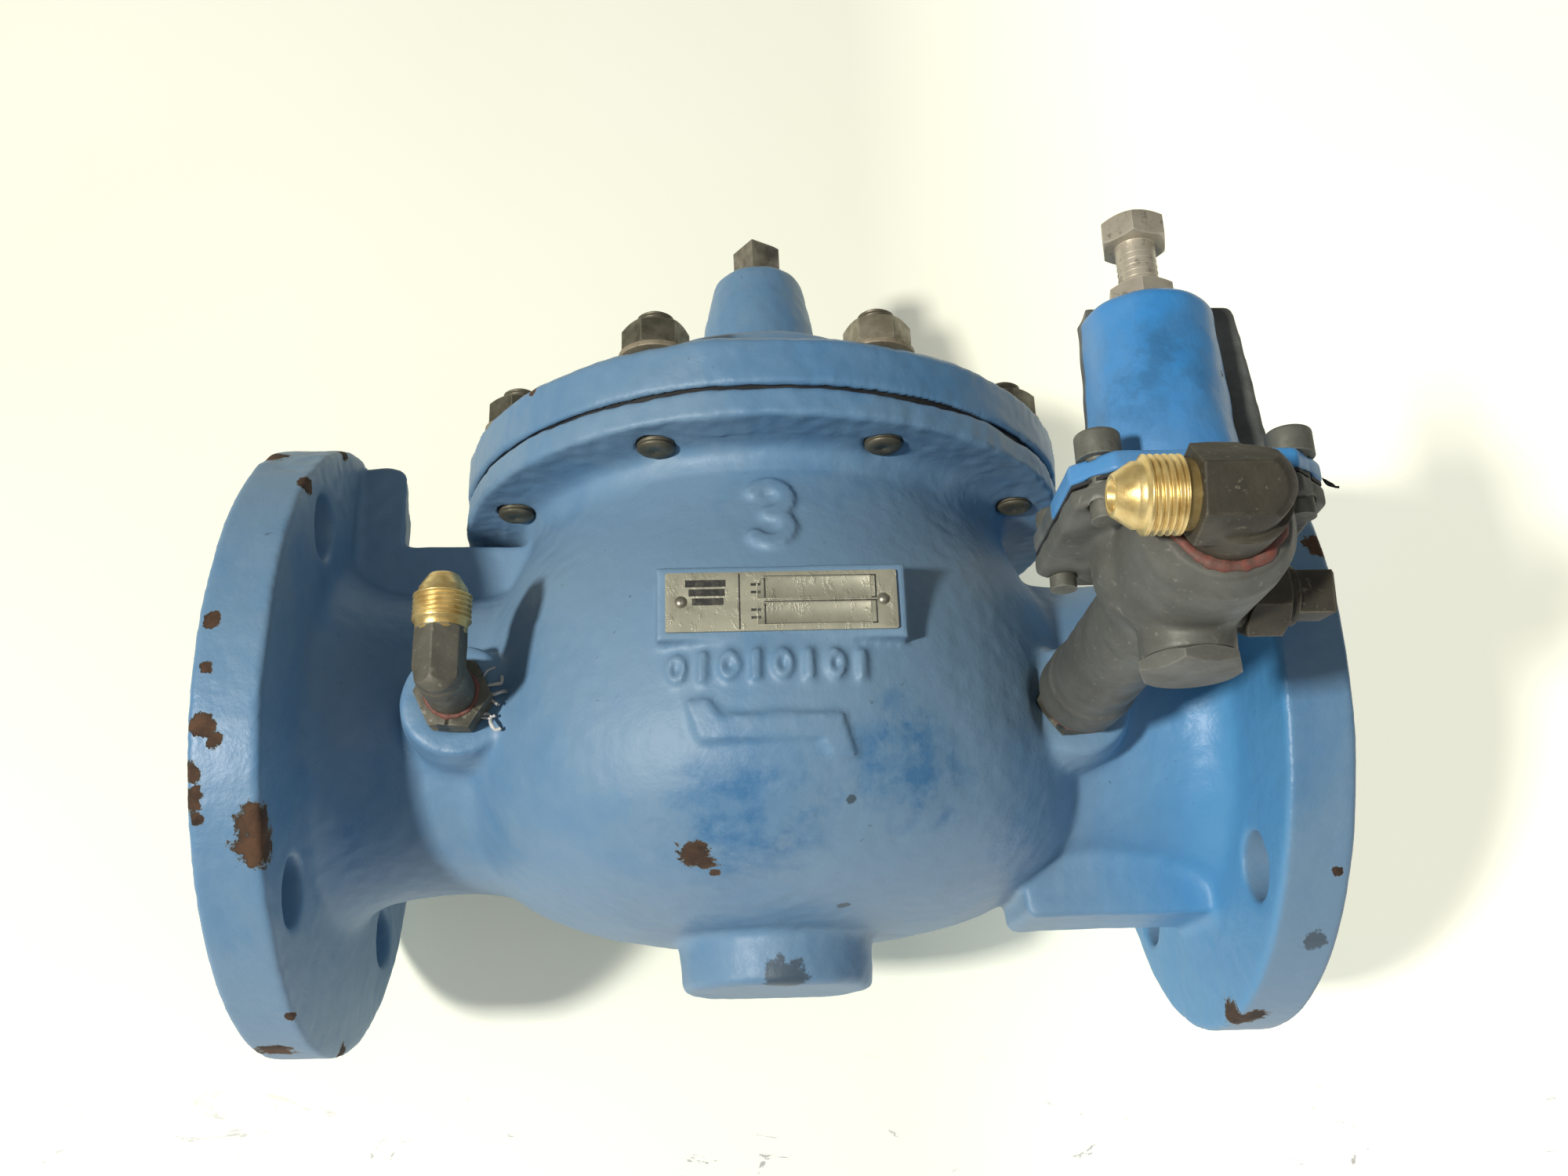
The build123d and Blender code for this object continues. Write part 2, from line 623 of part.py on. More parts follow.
def pilot_diaphragm():
    """Thin rubber sheet with a shallow convolution."""
    low, high = PILOT_BODY_FLANGE_Z[1] + CLEAR, BONNET_FLANGE_Z[0] - CLEAR
    sheet = pilot_plate(low, high, shrink=0.4) - rod(15.2, low - 1, high + 1)
    thick = high - low
    hub = PILOT_HUB_Z
    outline = [(2.6, hub), (9.6, hub), (15.3, low), (15.3, high), (14.8, high), (9.2, hub + thick)]
    sheet += lathe(outline + [(2.6, hub + thick)])
    for hole in screw_places(rod(SCREW_R + 0.2, 0, 10)):
        sheet -= hole
    return at_pilot(sheet)


def pilot_spring_seat():
    """Upper diaphragm washer, which is also the lower spring seat."""
    base = PILOT_HUB_Z + 0.8 + CLEAR
    return at_pilot(ring(9.2, 2.5 + CLEAR, base, PILOT_SPRING_Z[0] - CLEAR))


def pilot_stem_nut():
    base = PILOT_SPRING_Z[0]
    return at_pilot(hexagon(8, base, base + 4) - rod(2.5 + CLEAR, 0, 20))


def pilot_spring():
    low, high = PILOT_SPRING_Z
    return at_pilot(spring(7.4, 1.2, low + CLEAR, high, 7))


def pilot_spring_guide():
    """Button between the spring and the end of the adjusting screw."""
    base = PILOT_SPRING_Z[1] + CLEAR
    return at_pilot(rod(9.6, base, base + 3) + rod(5.8, base + 2, ADJUST_END_Z - CLEAR))


def pilot_bonnet():
    """Spring housing: square flange, round barrel and the thick rib cast behind it."""
    low, high = BONNET_FLANGE_Z
    face = pilot_plate(low, high)
    face = fillet(face.edges().group_by(Axis.Z)[-1], 1.0)
    barrel = cone(*BONNET_R, high - 1, BONNET_TOP_Z)
    barrel = fillet(barrel.edges().group_by(Axis.Z)[-1], 3.0)
    rib = Pos(*RIB_OFFSET, 0) * cone(*RIB_R, high - 1, RIB_TOP_Z)
    rib = fillet(rib.edges().group_by(Axis.Z)[-1], 2.5)
    rib &= block(-13.5, 26.5, 0.5, 26.5, 0, 80)
    housing = face + barrel + rib
    housing -= rod(11, low - 1, 51.4)
    housing -= rod(16, low - 1, low + 2.5)
    housing -= rod(ADJUST_R + CLEAR, 50, 70)
    housing -= rod(10.5, BONNET_TOP_Z, RIB_TOP_Z + 1)
    for hole in screw_places(rod(SCREW_R + CLEAR, 0, 20)):
        housing -= hole
    for seat in screw_places(rod(5.3, high, 40)):
        housing -= seat
    return at_pilot(housing)


def cap_screw():
    """Socket head cap screw, threaded right through both flanges."""
    base = BONNET_FLANGE_Z[1] + CLEAR
    head = rod(4.9, base, base + 6)
    head = fillet(head.edges().group_by(Axis.Z)[-1], 0.8)
    socket = Pos(0, 0, base + 3) * extrude(RegularPolygon(2.9, 6), 4)
    return head + rod(SCREW_R, -2.6, base + 0.2) - socket


def adjusting_screw():
    head = hexagon(ADJUST_HEX_AF, *ADJUST_HEAD_Z, turn=ADJUST_TURN)
    shank = rod(ADJUST_R, ADJUST_END_Z, ADJUST_HEAD_Z[0] + 0.2)
    shank = chamfer(shank.edges().group_by(Axis.Z)[0], 0.8)
    return at_pilot(head + shank)


def lock_nut():
    nut = hexagon(ADJUST_HEX_AF, *LOCK_NUT_Z, turn=ADJUST_TURN + 3)
    return at_pilot(nut - rod(ADJUST_R + CLEAR, 50, 70))


# ---------------------------------------------------------------- write every piece

PIECES = {
    "valve_body": valve_body,
    "seat_ring": seat_ring,
    "cover": cover,
    "cover_studs": lambda: around(stud(), STUD_COUNT, STUD_CIRCLE_R),
    "cover_washers": lambda: around(washer(), STUD_COUNT, STUD_CIRCLE_R),
    "cover_nuts": lambda: around(cover_nut(), STUD_COUNT, STUD_CIRCLE_R),
    "cover_plug": cover_plug,
    "cover_bearing": cover_bearing,
    "diaphragm": diaphragm,
    "main_spring": main_spring,
    "stem": stem,
    "stem_nut": stem_nut,
    "diaphragm_washer": diaphragm_washer,
    "disc_retainer": disc_retainer,
    "valve_disc": valve_disc,
    "disc_guide": disc_guide,
    "nameplate": nameplate,
    "nameplate_rivets": lambda: [
        Pos(x, PLATE_FACE_Y, PLATE_Z) * FRONT * rivet() for x in RIVET_X
    ],
    "inlet_bushing": inlet_bushing,
    "inlet_elbow": inlet_elbow,
    "outlet_nipple": outlet_nipple,
    "pilot_body": pilot_body,
    "pilot_bottom_plug": pilot_bottom_plug,
    "pilot_side_bushing": side_bushing,
    "pilot_side_plug": side_plug,
    "pilot_elbow": pilot_elbow,
    "pilot_seat": pilot_seat,
    "pilot_stem": pilot_stem,
    "pilot_disc": pilot_disc,
    "pilot_diaphragm": pilot_diaphragm,
    "pilot_spring_seat": pilot_spring_seat,
    "pilot_stem_nut": pilot_stem_nut,
    "pilot_spring": pilot_spring,
    "pilot_spring_guide": pilot_spring_guide,
    "pilot_bonnet": pilot_bonnet,
    "pilot_cap_screws": lambda: [at_pilot(s) for s in screw_places(cap_screw())],
    "adjusting_screw": adjusting_screw,
    "lock_nut": lock_nut,
}

for name, make in PIECES.items():
    save(name, make())
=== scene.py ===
import json
import math

import bmesh
import bpy
import numpy as np
from mathutils import Matrix, Vector, noise


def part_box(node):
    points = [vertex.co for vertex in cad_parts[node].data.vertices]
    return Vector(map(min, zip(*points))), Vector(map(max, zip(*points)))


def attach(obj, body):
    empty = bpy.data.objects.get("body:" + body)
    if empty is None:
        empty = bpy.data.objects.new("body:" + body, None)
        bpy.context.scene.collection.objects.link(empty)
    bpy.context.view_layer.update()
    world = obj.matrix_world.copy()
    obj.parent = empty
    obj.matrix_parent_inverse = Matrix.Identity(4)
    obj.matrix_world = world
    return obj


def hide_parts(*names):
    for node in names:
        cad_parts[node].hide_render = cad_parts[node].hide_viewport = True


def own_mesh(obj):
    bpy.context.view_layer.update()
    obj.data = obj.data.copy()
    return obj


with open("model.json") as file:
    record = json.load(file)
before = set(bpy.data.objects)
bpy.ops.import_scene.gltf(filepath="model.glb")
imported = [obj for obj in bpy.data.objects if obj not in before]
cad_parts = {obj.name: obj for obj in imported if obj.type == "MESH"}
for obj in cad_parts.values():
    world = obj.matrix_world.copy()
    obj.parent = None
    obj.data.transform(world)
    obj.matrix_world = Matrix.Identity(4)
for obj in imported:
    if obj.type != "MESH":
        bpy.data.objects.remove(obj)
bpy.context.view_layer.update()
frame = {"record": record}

MM = 0.001
MOUNTS = {mount["name"]: mount for mount in frame["record"]["mounts"]}

# Places read from the frame
BODY_LOW, BODY_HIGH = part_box("valve_body")
STEM_X = (BODY_LOW.x + BODY_HIGH.x) / 2
FLANGE_R = -BODY_LOW.z
SCREW_LOW, SCREW_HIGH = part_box("adjusting_screw")
PILOT_AXIS = (SCREW_LOW + SCREW_HIGH) / 2
PLATE_LOW, PLATE_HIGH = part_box("nameplate")
NIPPLE_LOW, NIPPLE_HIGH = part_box("outlet_nipple")
BONNET_LOW, BONNET_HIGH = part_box("pilot_bonnet")

# ---------------------------------------------------------------- camera, board and light

CAMERA_AT = Vector((STEM_X - 0.01298, -0.45468, -0.11601))
CAMERA_YAW = -0.0419
CAMERA_PITCH = 0.3538
CAMERA_ROLL = 0.0332
CAMERA_LENS = 32.87


def make_camera():
    data = bpy.data.cameras.new("camera")
    data.lens = CAMERA_LENS
    data.sensor_width = 36
    data.clip_start = 0.01
    cam = bpy.data.objects.new("camera", data)
    bpy.context.scene.collection.objects.link(cam)
    turn = Matrix.Rotation(CAMERA_YAW, 4, "Z") @ Matrix.Rotation(CAMERA_PITCH, 4, "X")
    turn = turn @ Matrix.Rotation(CAMERA_ROLL, 4, "Y") @ Matrix.Rotation(math.pi / 2, 4, "X")
    cam.matrix_world = Matrix.Translation(CAMERA_AT) @ turn
    bpy.context.scene.camera = cam


def area_light(name, at, aim, power, size, colour):
    data = bpy.data.lights.new(name, "AREA")
    data.energy = power
    data.size = size
    data.color = colour
    lamp = bpy.data.objects.new(name, data)
    bpy.context.scene.collection.objects.link(lamp)
    lamp.location = at
    lamp.rotation_mode = "QUATERNION"
    lamp.rotation_quaternion = (Vector(aim) - Vector(at)).to_track_quat("-Z", "Y")


def make_world():
    world = bpy.data.worlds.new("world")
    world.use_nodes = True
    background = world.node_tree.nodes["Background"]
    background.inputs["Color"].default_value = (0.98, 0.99, 1.0, 1)
    background.inputs["Strength"].default_value = 0.12
    bpy.context.scene.world = world


# ---------------------------------------------------------------- material building blocks


class Paint:
    """One material: short calls for the nodes that every finish here is made of."""

    def __init__(self, name, metallic=0.0):
        self.material = bpy.data.materials.new(name)
        self.material.use_nodes = True
        self.tree = self.material.node_tree
        self.shader = self.tree.nodes["Principled BSDF"]
        self.shader.inputs["Metallic"].default_value = metallic
        self.place = self.tree.nodes.new("ShaderNodeTexCoord").outputs["Object"]

    def link(self, source, target):
        if hasattr(source, "is_output"):
            self.tree.links.new(source, target)
        elif hasattr(source, "__len__") and len(source) == 3 and target.type == "RGBA":
            target.default_value = (*source, 1)
        else:
            target.default_value = source

    def noise(self, scale, detail=4, rough=0.55, warp=0.0, stretch=None):
        node = self.tree.nodes.new("ShaderNodeTexNoise")
        node.inputs["Scale"].default_value = scale
        node.inputs["Detail"].default_value = detail
        node.inputs["Roughness"].default_value = rough
        node.inputs["Distortion"].default_value = warp
        where = self.place
        if stretch:
            where = self.mapped(stretch)
        self.link(where, node.inputs["Vector"])
        return node.outputs["Fac"]

    def mapped(self, scale):
        node = self.tree.nodes.new("ShaderNodeMapping")
        node.inputs["Scale"].default_value = scale
        self.link(self.place, node.inputs["Vector"])
        return node.outputs["Vector"]

    def span(self, value, low, high, out_low=0.0, out_high=1.0):
        """Value stretched from low..high to out_low..out_high, clamped."""
        node = self.tree.nodes.new("ShaderNodeMapRange")
        self.link(value, node.inputs["Value"])
        node.inputs["From Min"].default_value = low
        node.inputs["From Max"].default_value = high
        node.inputs["To Min"].default_value = out_low
        node.inputs["To Max"].default_value = out_high
        return node.outputs["Result"]

    def math(self, operation, a, b=0.0):
        node = self.tree.nodes.new("ShaderNodeMath")
        node.operation = operation
        self.link(a, node.inputs[0])
        self.link(b, node.inputs[1])
        return node.outputs[0]

    def mix(self, factor, a, b):
        node = self.tree.nodes.new("ShaderNodeMix")
        node.data_type = "RGBA"
        self.link(factor, node.inputs["Factor"])
        self.link(a, node.inputs[6])
        self.link(b, node.inputs[7])
        return node.outputs[2]

    def axis(self, letter):
        node = self.tree.nodes.new("ShaderNodeSeparateXYZ")
        self.link(self.place, node.inputs[0])
        return node.outputs[letter]

    def distance(self, point):
        node = self.tree.nodes.new("ShaderNodeVectorMath")
        node.operation = "DISTANCE"
        self.link(self.place, node.inputs[0])
        node.inputs[1].default_value = point
        return node.outputs["Value"]

    def spots(self, places, ragged, edge=0.25):
        """Mask that is 1 inside ragged blots; places are (point, radius) pairs."""
        total = None
        for point, radius in places:
            reach = self.math("DIVIDE", self.distance(point), radius)
            reach = self.math("ADD", reach, ragged)
            blot = self.span(reach, 1.0 - edge, 1.0 + edge, 1.0, 0.0)
            total = blot if total is None else self.math("MAXIMUM", total, blot)
        return total

    def worn_edges(self, radius, low=0.004, high=0.06):
        """Mask that is 1 along sharp edges, from the difference a rounding makes."""
        bevel = self.tree.nodes.new("ShaderNodeBevel")
        bevel.samples = 6
        bevel.inputs["Radius"].default_value = radius
        plain = self.tree.nodes.new("ShaderNodeNewGeometry").outputs["Normal"]
        dot = self.tree.nodes.new("ShaderNodeVectorMath")
        dot.operation = "DOT_PRODUCT"
        self.link(bevel.outputs[0], dot.inputs[0])
        self.link(plain, dot.inputs[1])
        return self.span(dot.outputs["Value"], 1.0 - low, 1.0 - high)

    def bump(self, height, distance, strength=1.0, under=None):
        node = self.tree.nodes.new("ShaderNodeBump")
        node.inputs["Strength"].default_value = strength
        node.inputs["Distance"].default_value = distance
        self.link(height, node.inputs["Height"])
        if under is not None:
            self.link(under, node.inputs["Normal"])
        return node.outputs["Normal"]

    def finish(self, colour, roughness, normal=None):
        self.link(colour, self.shader.inputs["Base Color"])
        self.link(roughness, self.shader.inputs["Roughness"])
        if normal is not None:
            self.link(normal, self.shader.inputs["Normal"])
        return self.material


# ---------------------------------------------------------------- finishes

CHALK = (0.180, 0.300, 0.425)
SKY = (0.070, 0.215, 0.410)
DEEP = (0.040, 0.165, 0.345)
# Brighter, more saturated blue painted on the body's right side as painted light.
PAINTED_LIGHT_BLUE = (0.080, 0.300, 0.560)
RUST = (0.115, 0.058, 0.029)
RUST_DARK = (0.036, 0.021, 0.013)
OCHRE = (0.200, 0.170, 0.080)
GRIME = (0.045, 0.060, 0.070)
BARE_IRON = (0.150, 0.155, 0.140)

# Chips and rust on the body: point in the frame, radius. Each lies on a surface of the body.
RIM_FRONT = BODY_LOW.x + 0.004
BODY_CHIPS = [
    ((BODY_LOW.x + 0.019, -0.083, -0.047), 0.0066),
    ((BODY_LOW.x + 0.018, -0.086, -0.041), 0.0050),
    ((RIM_FRONT, -0.0937, -0.0171), 0.0030),
    ((RIM_FRONT + 0.003, -0.0929, -0.0211), 0.0020),
    ((RIM_FRONT, -0.0945, 0.0113), 0.0022),
    ((RIM_FRONT, -0.0952, -0.0018), 0.0015),
    ((BODY_LOW.x + 0.001, -0.0884, -0.0353), 0.0030),
    ((BODY_LOW.x + 0.001, -0.0905, -0.0290), 0.0024),
    ((BODY_LOW.x + 0.003, -0.0865, -0.0400), 0.0016),
    ((BODY_LOW.x + 0.019, -0.0724, 0.0602), 0.0030),
    ((BODY_LOW.x + 0.019, -0.0395, 0.0867), 0.0032),
    ((BODY_LOW.x + 0.003, -0.0560, 0.0770), 0.0036),
    ((BODY_LOW.x + 0.017, -0.0409, -0.0860), 0.0016),
    ((BODY_LOW.x + 0.007, -0.0180, -0.0935), 0.0050),
    ((BODY_LOW.x + 0.019, 0.0100, -0.0945), 0.0040),
    ((STEM_X - 0.0232, -0.0760, -0.0504), 0.0042),
    ((STEM_X - 0.0200, -0.0735, -0.0520), 0.0026),
    ((STEM_X - 0.0180, -0.0706, -0.0542), 0.0016),
    ((BODY_HIGH.x - 0.0185, -0.0187, -0.0931), 0.0060),
    ((BODY_HIGH.x - 0.0140, -0.0230, -0.0925), 0.0042),
    ((BODY_HIGH.x - 0.0013, -0.0909, 0.0282), 0.0040),
    ((BODY_HIGH.x - 0.0040, -0.0746, -0.0592), 0.0014),
]
BARE_SCRATCHES = [
    ((STEM_X + 0.0174, -0.0502, -0.0612), 0.0020),
    ((STEM_X + 0.0178, -0.0890, -0.0396), 0.0014),
    ((BODY_HIGH.x - 0.0071, -0.0583, -0.0753), 0.0036),
    ((STEM_X + 0.0012, -0.0291, -0.0785), 0.0060),
]
BRIGHT_PATCHES = [
    ((STEM_X - 0.0076, -0.0894, -0.0410), 0.0170),
    ((STEM_X - 0.0139, -0.0798, -0.0493), 0.0130),
    ((STEM_X + 0.0315, -0.0912, -0.0280), 0.0120),
    ((STEM_X + 0.0401, -0.0834, -0.0368), 0.0100),
]


def epoxy(name, chips, scratches=(), patches=(), chalky=0.5, pure=None, bare_behind=None):
    """Blue fusion-coated cast iron: chalky film, brighter patches, grime, chips down to rust, a painted
    highlight of brighter blue on the right side, and paler flange rims that are partly chalk, partly
    painted reflection.

    Where bare_behind is given, the coating stops there in y and the grey iron shows.
    """
    paint = Paint(name)
    bright = pure or SKY
    cloud = paint.noise(13.0, 5, 0.6, warp=0.4)
    fine = paint.noise(95.0, 5, 0.65)
    streak = paint.noise(22.0, 4, 0.6, stretch=(1.0, 1.0, 0.28))
    side = paint.math("ABSOLUTE", paint.math("SUBTRACT", paint.axis("X"), STEM_X))
    off_bowl = paint.span(side, 0.070, 0.120, 0.0, 0.45)
    film = paint.math("SUBTRACT", paint.span(cloud, 0.30, 0.62), off_bowl)
    film = paint.math("SUBTRACT", film, paint.span(paint.axis("Z"), 0.045, 0.075, 0.0, 0.30))
    height = paint.math("ABSOLUTE", paint.axis("Z"))
    # Chalk film and painted reflection: the top and bottom of the flange rims are painted paler, partly
    # the chalky coating, partly the pale reflection their gloss shows.
    rim_chalk_and_reflection = paint.math("MULTIPLY", paint.span(height, 0.040, 0.080, 0.0, 2.2), off_bowl)
    film = paint.math("ADD", film, rim_chalk_and_reflection)
    film = paint.math("ADD", film, paint.span(fine, 0.35, 0.70, -0.16, 0.16))
    film = paint.math("ADD", film, paint.span(streak, 0.35, 0.65, -0.22, 0.22))
    film = paint.span(film, -0.4, 1.0, chalky - 0.55, chalky + 0.40)
    # Painted light: the body's right side, up to the inner face of the right flange, gets a brighter,
    # more saturated blue in place of the key light falling there.
    painted_light_side = paint.span(paint.axis("X"), STEM_X + 0.085, STEM_X + 0.125, 0.0, 0.85)
    painted_light_side = paint.math("MULTIPLY", painted_light_side, paint.span(paint.axis("X"), BODY_HIGH.x - 0.017,
                                                     BODY_HIGH.x - 0.019))
    colour = paint.mix(film, bright, CHALK)
    colour = paint.mix(painted_light_side, colour, PAINTED_LIGHT_BLUE)
    ragged = paint.span(paint.noise(120.0, 5, 0.7), 0.2, 0.8, -0.55, 0.55)
    if patches:
        rubbed = paint.spots(patches, ragged, edge=0.5)
        rubbed = paint.math("MULTIPLY", rubbed, paint.span(fine, 0.40, 0.58, 0.15, 0.85))
        colour = paint.mix(rubbed, colour, DEEP)
    freckle = paint.span(paint.noise(420.0, 3, 0.5), 0.70, 0.76, 0.0, 0.55)
    freckle = paint.math("MULTIPLY", freckle, paint.span(cloud, 0.45, 0.65))
    colour = paint.mix(freckle, colour, GRIME)
    edges = paint.worn_edges(0.0012)
    rubbed_edge = paint.math("MULTIPLY", edges, paint.span(paint.noise(60.0, 4), 0.42, 0.66, 0.0, 0.55))
    colour = paint.mix(rubbed_edge, colour, (0.30, 0.45, 0.56))
    torn = paint.span(paint.noise(260.0, 5, 0.75), 0.2, 0.8, -0.75, 0.75)
    chip = paint.spots(chips, torn, edge=0.08)
    nick = paint.math("MULTIPLY", edges, paint.span(paint.noise(75.0, 3, 0.6), 0.655, 0.68))
    chip = paint.math("MAXIMUM", chip, nick)
    primer = paint.span(paint.spots(chips, torn, edge=0.30), 0.25, 0.45, 0.0, 0.8)
    rust = paint.mix(paint.span(fine, 0.38, 0.62), RUST_DARK, RUST)
    colour = paint.mix(primer, colour, OCHRE)
    colour = paint.mix(chip, colour, rust)
    if bare_behind is not None:
        edge = paint.math("ADD", paint.axis("Y"), paint.span(cloud, 0.3, 0.7, -0.001, 0.001))
        bare = paint.span(edge, bare_behind, bare_behind + 0.0008)
        above = paint.span(paint.axis("Z"), BONNET_LOW.z + 0.0058, BONNET_LOW.z + 0.0064)
        aside = paint.span(paint.axis("X"), PILOT_AXIS.x + 0.0160, PILOT_AXIS.x + 0.0168)
        bare = paint.math("MAXIMUM", bare, paint.math("MULTIPLY", above, aside))
        iron = paint.mix(paint.span(fine, 0.35, 0.65), BARE_IRON, (0.075, 0.078, 0.070))
        colour = paint.mix(bare, colour, iron)
    if scratches:
        bare = paint.spots(scratches, torn, edge=0.1)
        colour = paint.mix(paint.math("MULTIPLY", bare, 0.8), colour, GRIME)
    gloss = paint.span(film, 0.0, 1.0, 0.34, 0.52)
    gloss = paint.math("MAXIMUM", gloss, paint.math("MULTIPLY", chip, 0.9))
    skin = paint.bump(paint.noise(420.0, 4, 0.6), 0.00025, 0.55)
    cast = paint.bump(paint.noise(70.0, 5, 0.6), 0.0012, 0.35, under=skin)
    sunk = paint.bump(paint.math("SUBTRACT", 1.0, chip), 0.0005, 0.9, under=cast)
    return paint.finish(colour, gloss, sunk)


def tarnish(name, dull, dark, lit, metallic=0.35, chips=()):
    """Bronze or brass gone grey: mottled film, dark pits, paler rubbed edges."""
    paint = Paint(name, metallic)
    cloud = paint.noise(70.0, 5, 0.62, warp=0.3)
    grain = paint.noise(900.0, 4, 0.6)
    colour = paint.mix(paint.span(cloud, 0.36, 0.64), dull, dark)
    speck = paint.span(paint.noise(520.0, 3, 0.6), 0.62, 0.72, 0.0, 0.5)
    colour = paint.mix(speck, colour, lit)
    edges = paint.worn_edges(0.0007)
    rubbed = paint.math("MULTIPLY", edges, paint.span(paint.noise(160.0, 4), 0.40, 0.62, 0.1, 0.8))
    colour = paint.mix(rubbed, colour, lit)
    rough = paint.span(cloud, 0.3, 0.7, 0.52, 0.72)
    normal = paint.bump(grain, 0.00016, 0.6)
    normal = paint.bump(paint.noise(150.0, 4), 0.0005, 0.3, under=normal)
    return paint.finish(colour, rough, normal)


def bright_brass():
    """Freshly turned brass: tool rings, faint stains in the thread roots."""
    paint = Paint("brass_bright", 0.65)
    stain = paint.span(paint.noise(240.0, 4), 0.40, 0.66)
    colour = paint.mix(stain, (0.88, 0.68, 0.30), (0.66, 0.46, 0.16))
    rough = paint.span(paint.noise(600.0, 3), 0.3, 0.7, 0.26, 0.42)
    return paint.finish(colour, rough, paint.bump(paint.noise(1400.0, 2), 0.00004, 0.5))


def steel(name, light, dark, metallic, rough_low, rough_high, dirt=(0.09, 0.075, 0.05)):
    """Plated or stainless fastener steel: blotched film, dirt in the corners, rubbed edges."""
    paint = Paint(name, metallic)
    cloud = paint.noise(180.0, 5, 0.6)
    colour = paint.mix(paint.span(cloud, 0.35, 0.65), light, dark)
    soil = paint.span(paint.noise(320.0, 4, 0.7), 0.58, 0.70, 0.0, 0.7)
    colour = paint.mix(soil, colour, dirt)
    edges = paint.math("MULTIPLY", paint.worn_edges(0.0005), 0.6)
    colour = paint.mix(edges, colour, tuple(min(1.0, c * 1.5) for c in light))
    rough = paint.span(cloud, 0.3, 0.7, rough_low, rough_high)
    normal = paint.bump(paint.noise(700.0, 3), 0.00008, 0.5)
    return paint.finish(colour, rough, normal)


def bonnet_finish():
    """Blue sprayed on the front of the bonnet only; bare grey iron behind and on top."""
    scuff = BONNET_LOW + Vector((0.0235, 0.0124, 0.031))
    chip = BONNET_LOW + Vector((0.0383, 0.0179, 0.031))
    chips = [(chip, 0.0014), (chip + Vector((0, 0, 0.004)), 0.0009)]
    patches = [(scuff, 0.011), (scuff + Vector((-0.006, 0, -0.007)), 0.010)]
    blue = (0.050, 0.270, 0.620)
    return epoxy("bonnet_blue", chips, patches=patches, chalky=0.15, pure=blue,
                 bare_behind=PILOT_AXIS.y - 0.0006)


def rubber():
    paint = Paint("black_rubber")
    bloom = paint.span(paint.noise(90.0, 4), 0.4, 0.7)
    colour = paint.mix(bloom, (0.012, 0.012, 0.013), (0.035, 0.034, 0.033))
    return paint.finish(colour, 0.7, paint.bump(paint.noise(500.0, 3), 0.0001, 0.5))


def sealant():
    """Dull red thread sealant, smeared and dusty."""
    paint = Paint("red_sealant")
    smear = paint.noise(380.0, 5, 0.7)
    colour = paint.mix(paint.span(smear, 0.35, 0.65), (0.23, 0.065, 0.045), (0.14, 0.085, 0.065))
    return paint.finish(colour, 0.62, paint.bump(smear, 0.0004, 0.8))


def tape():
    paint = Paint("white_tape")
    colour = paint.mix(paint.noise(700.0, 3), (0.78, 0.77, 0.72), (0.55, 0.53, 0.47))
    return paint.finish(colour, 0.6, paint.bump(paint.noise(900.0, 3), 0.0001, 0.6))


def plate_finish():
    """Pale aluminium data plate with printed film and soft scuffs in its two fields."""
    paint = Paint("plate_aluminium", 0.25)
    soil = paint.noise(120.0, 5, 0.65)
    colour = paint.mix(paint.span(soil, 0.35, 0.7), (0.47, 0.455, 0.34), (0.33, 0.315, 0.235))
    dent = paint.noise(330.0, 4, 0.7, stretch=(1.0, 1.0, 0.6))
    normal = paint.bump(paint.span(dent, 0.52, 0.66), 0.00022, 0.7)
    return paint.finish(colour, paint.span(soil, 0.3, 0.7, 0.36, 0.55), normal)


def ink():
    paint = Paint("plate_ink")
    worn = paint.span(paint.noise(600.0, 4, 0.7), 0.45, 0.75)
    return paint.finish(paint.mix(worn, (0.035, 0.034, 0.030), (0.12, 0.115, 0.09)), 0.5)


# ---------------------------------------------------------------- mesh building blocks


def link_piece(name, mesh, material, body, node=None):
    """Put a finished mesh in the scene, on a body, in place of a CAD node if one is named."""
    mesh.materials.clear()
    mesh.materials.append(material)
    for polygon in mesh.polygons:
        polygon.material_index = 0
    piece = bpy.data.objects.new(name, mesh)
    bpy.context.scene.collection.objects.link(piece)
    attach(piece, body)
    if node:
        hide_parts(node)
    return piece


def baked(mesh, *modifiers):
    """Copy of a mesh with modifiers applied; each is (type, {property: value})."""
    holder = bpy.data.objects.new("holder", mesh)
    bpy.context.scene.collection.objects.link(holder)
    for kind, values in modifiers:
        modifier = holder.modifiers.new(kind.lower(), kind)
        for key, value in values.items():
            setattr(modifier, key, value)
    view = bpy.context.evaluated_depsgraph_get()
    result = bpy.data.meshes.new_from_object(holder.evaluated_get(view))
    bpy.data.objects.remove(holder)
    return result


def smooth_shaded(mesh):
    mesh.polygons.foreach_set("use_smooth", [True] * len(mesh.polygons))
    mesh.update()
    return mesh


def remeshed(node, voxel):
    source = bpy.data.objects[node].data.copy()
    mesh = baked(source, ("REMESH", {"mode": "VOXEL", "voxel_size": voxel}))
    return smooth_shaded(mesh)


def coordinates(mesh):
    flat = np.empty(len(mesh.vertices) * 3)
    mesh.vertices.foreach_get("co", flat)
    return flat.reshape(-1, 3)


def set_coordinates(mesh, points):
    mesh.vertices.foreach_set("co", points.ravel())
    mesh.update()


def vertex_normals(mesh):
    flat = np.empty(len(mesh.vertices) * 3)
    mesh.vertex_normals.foreach_get("vector", flat)
    return flat.reshape(-1, 3)


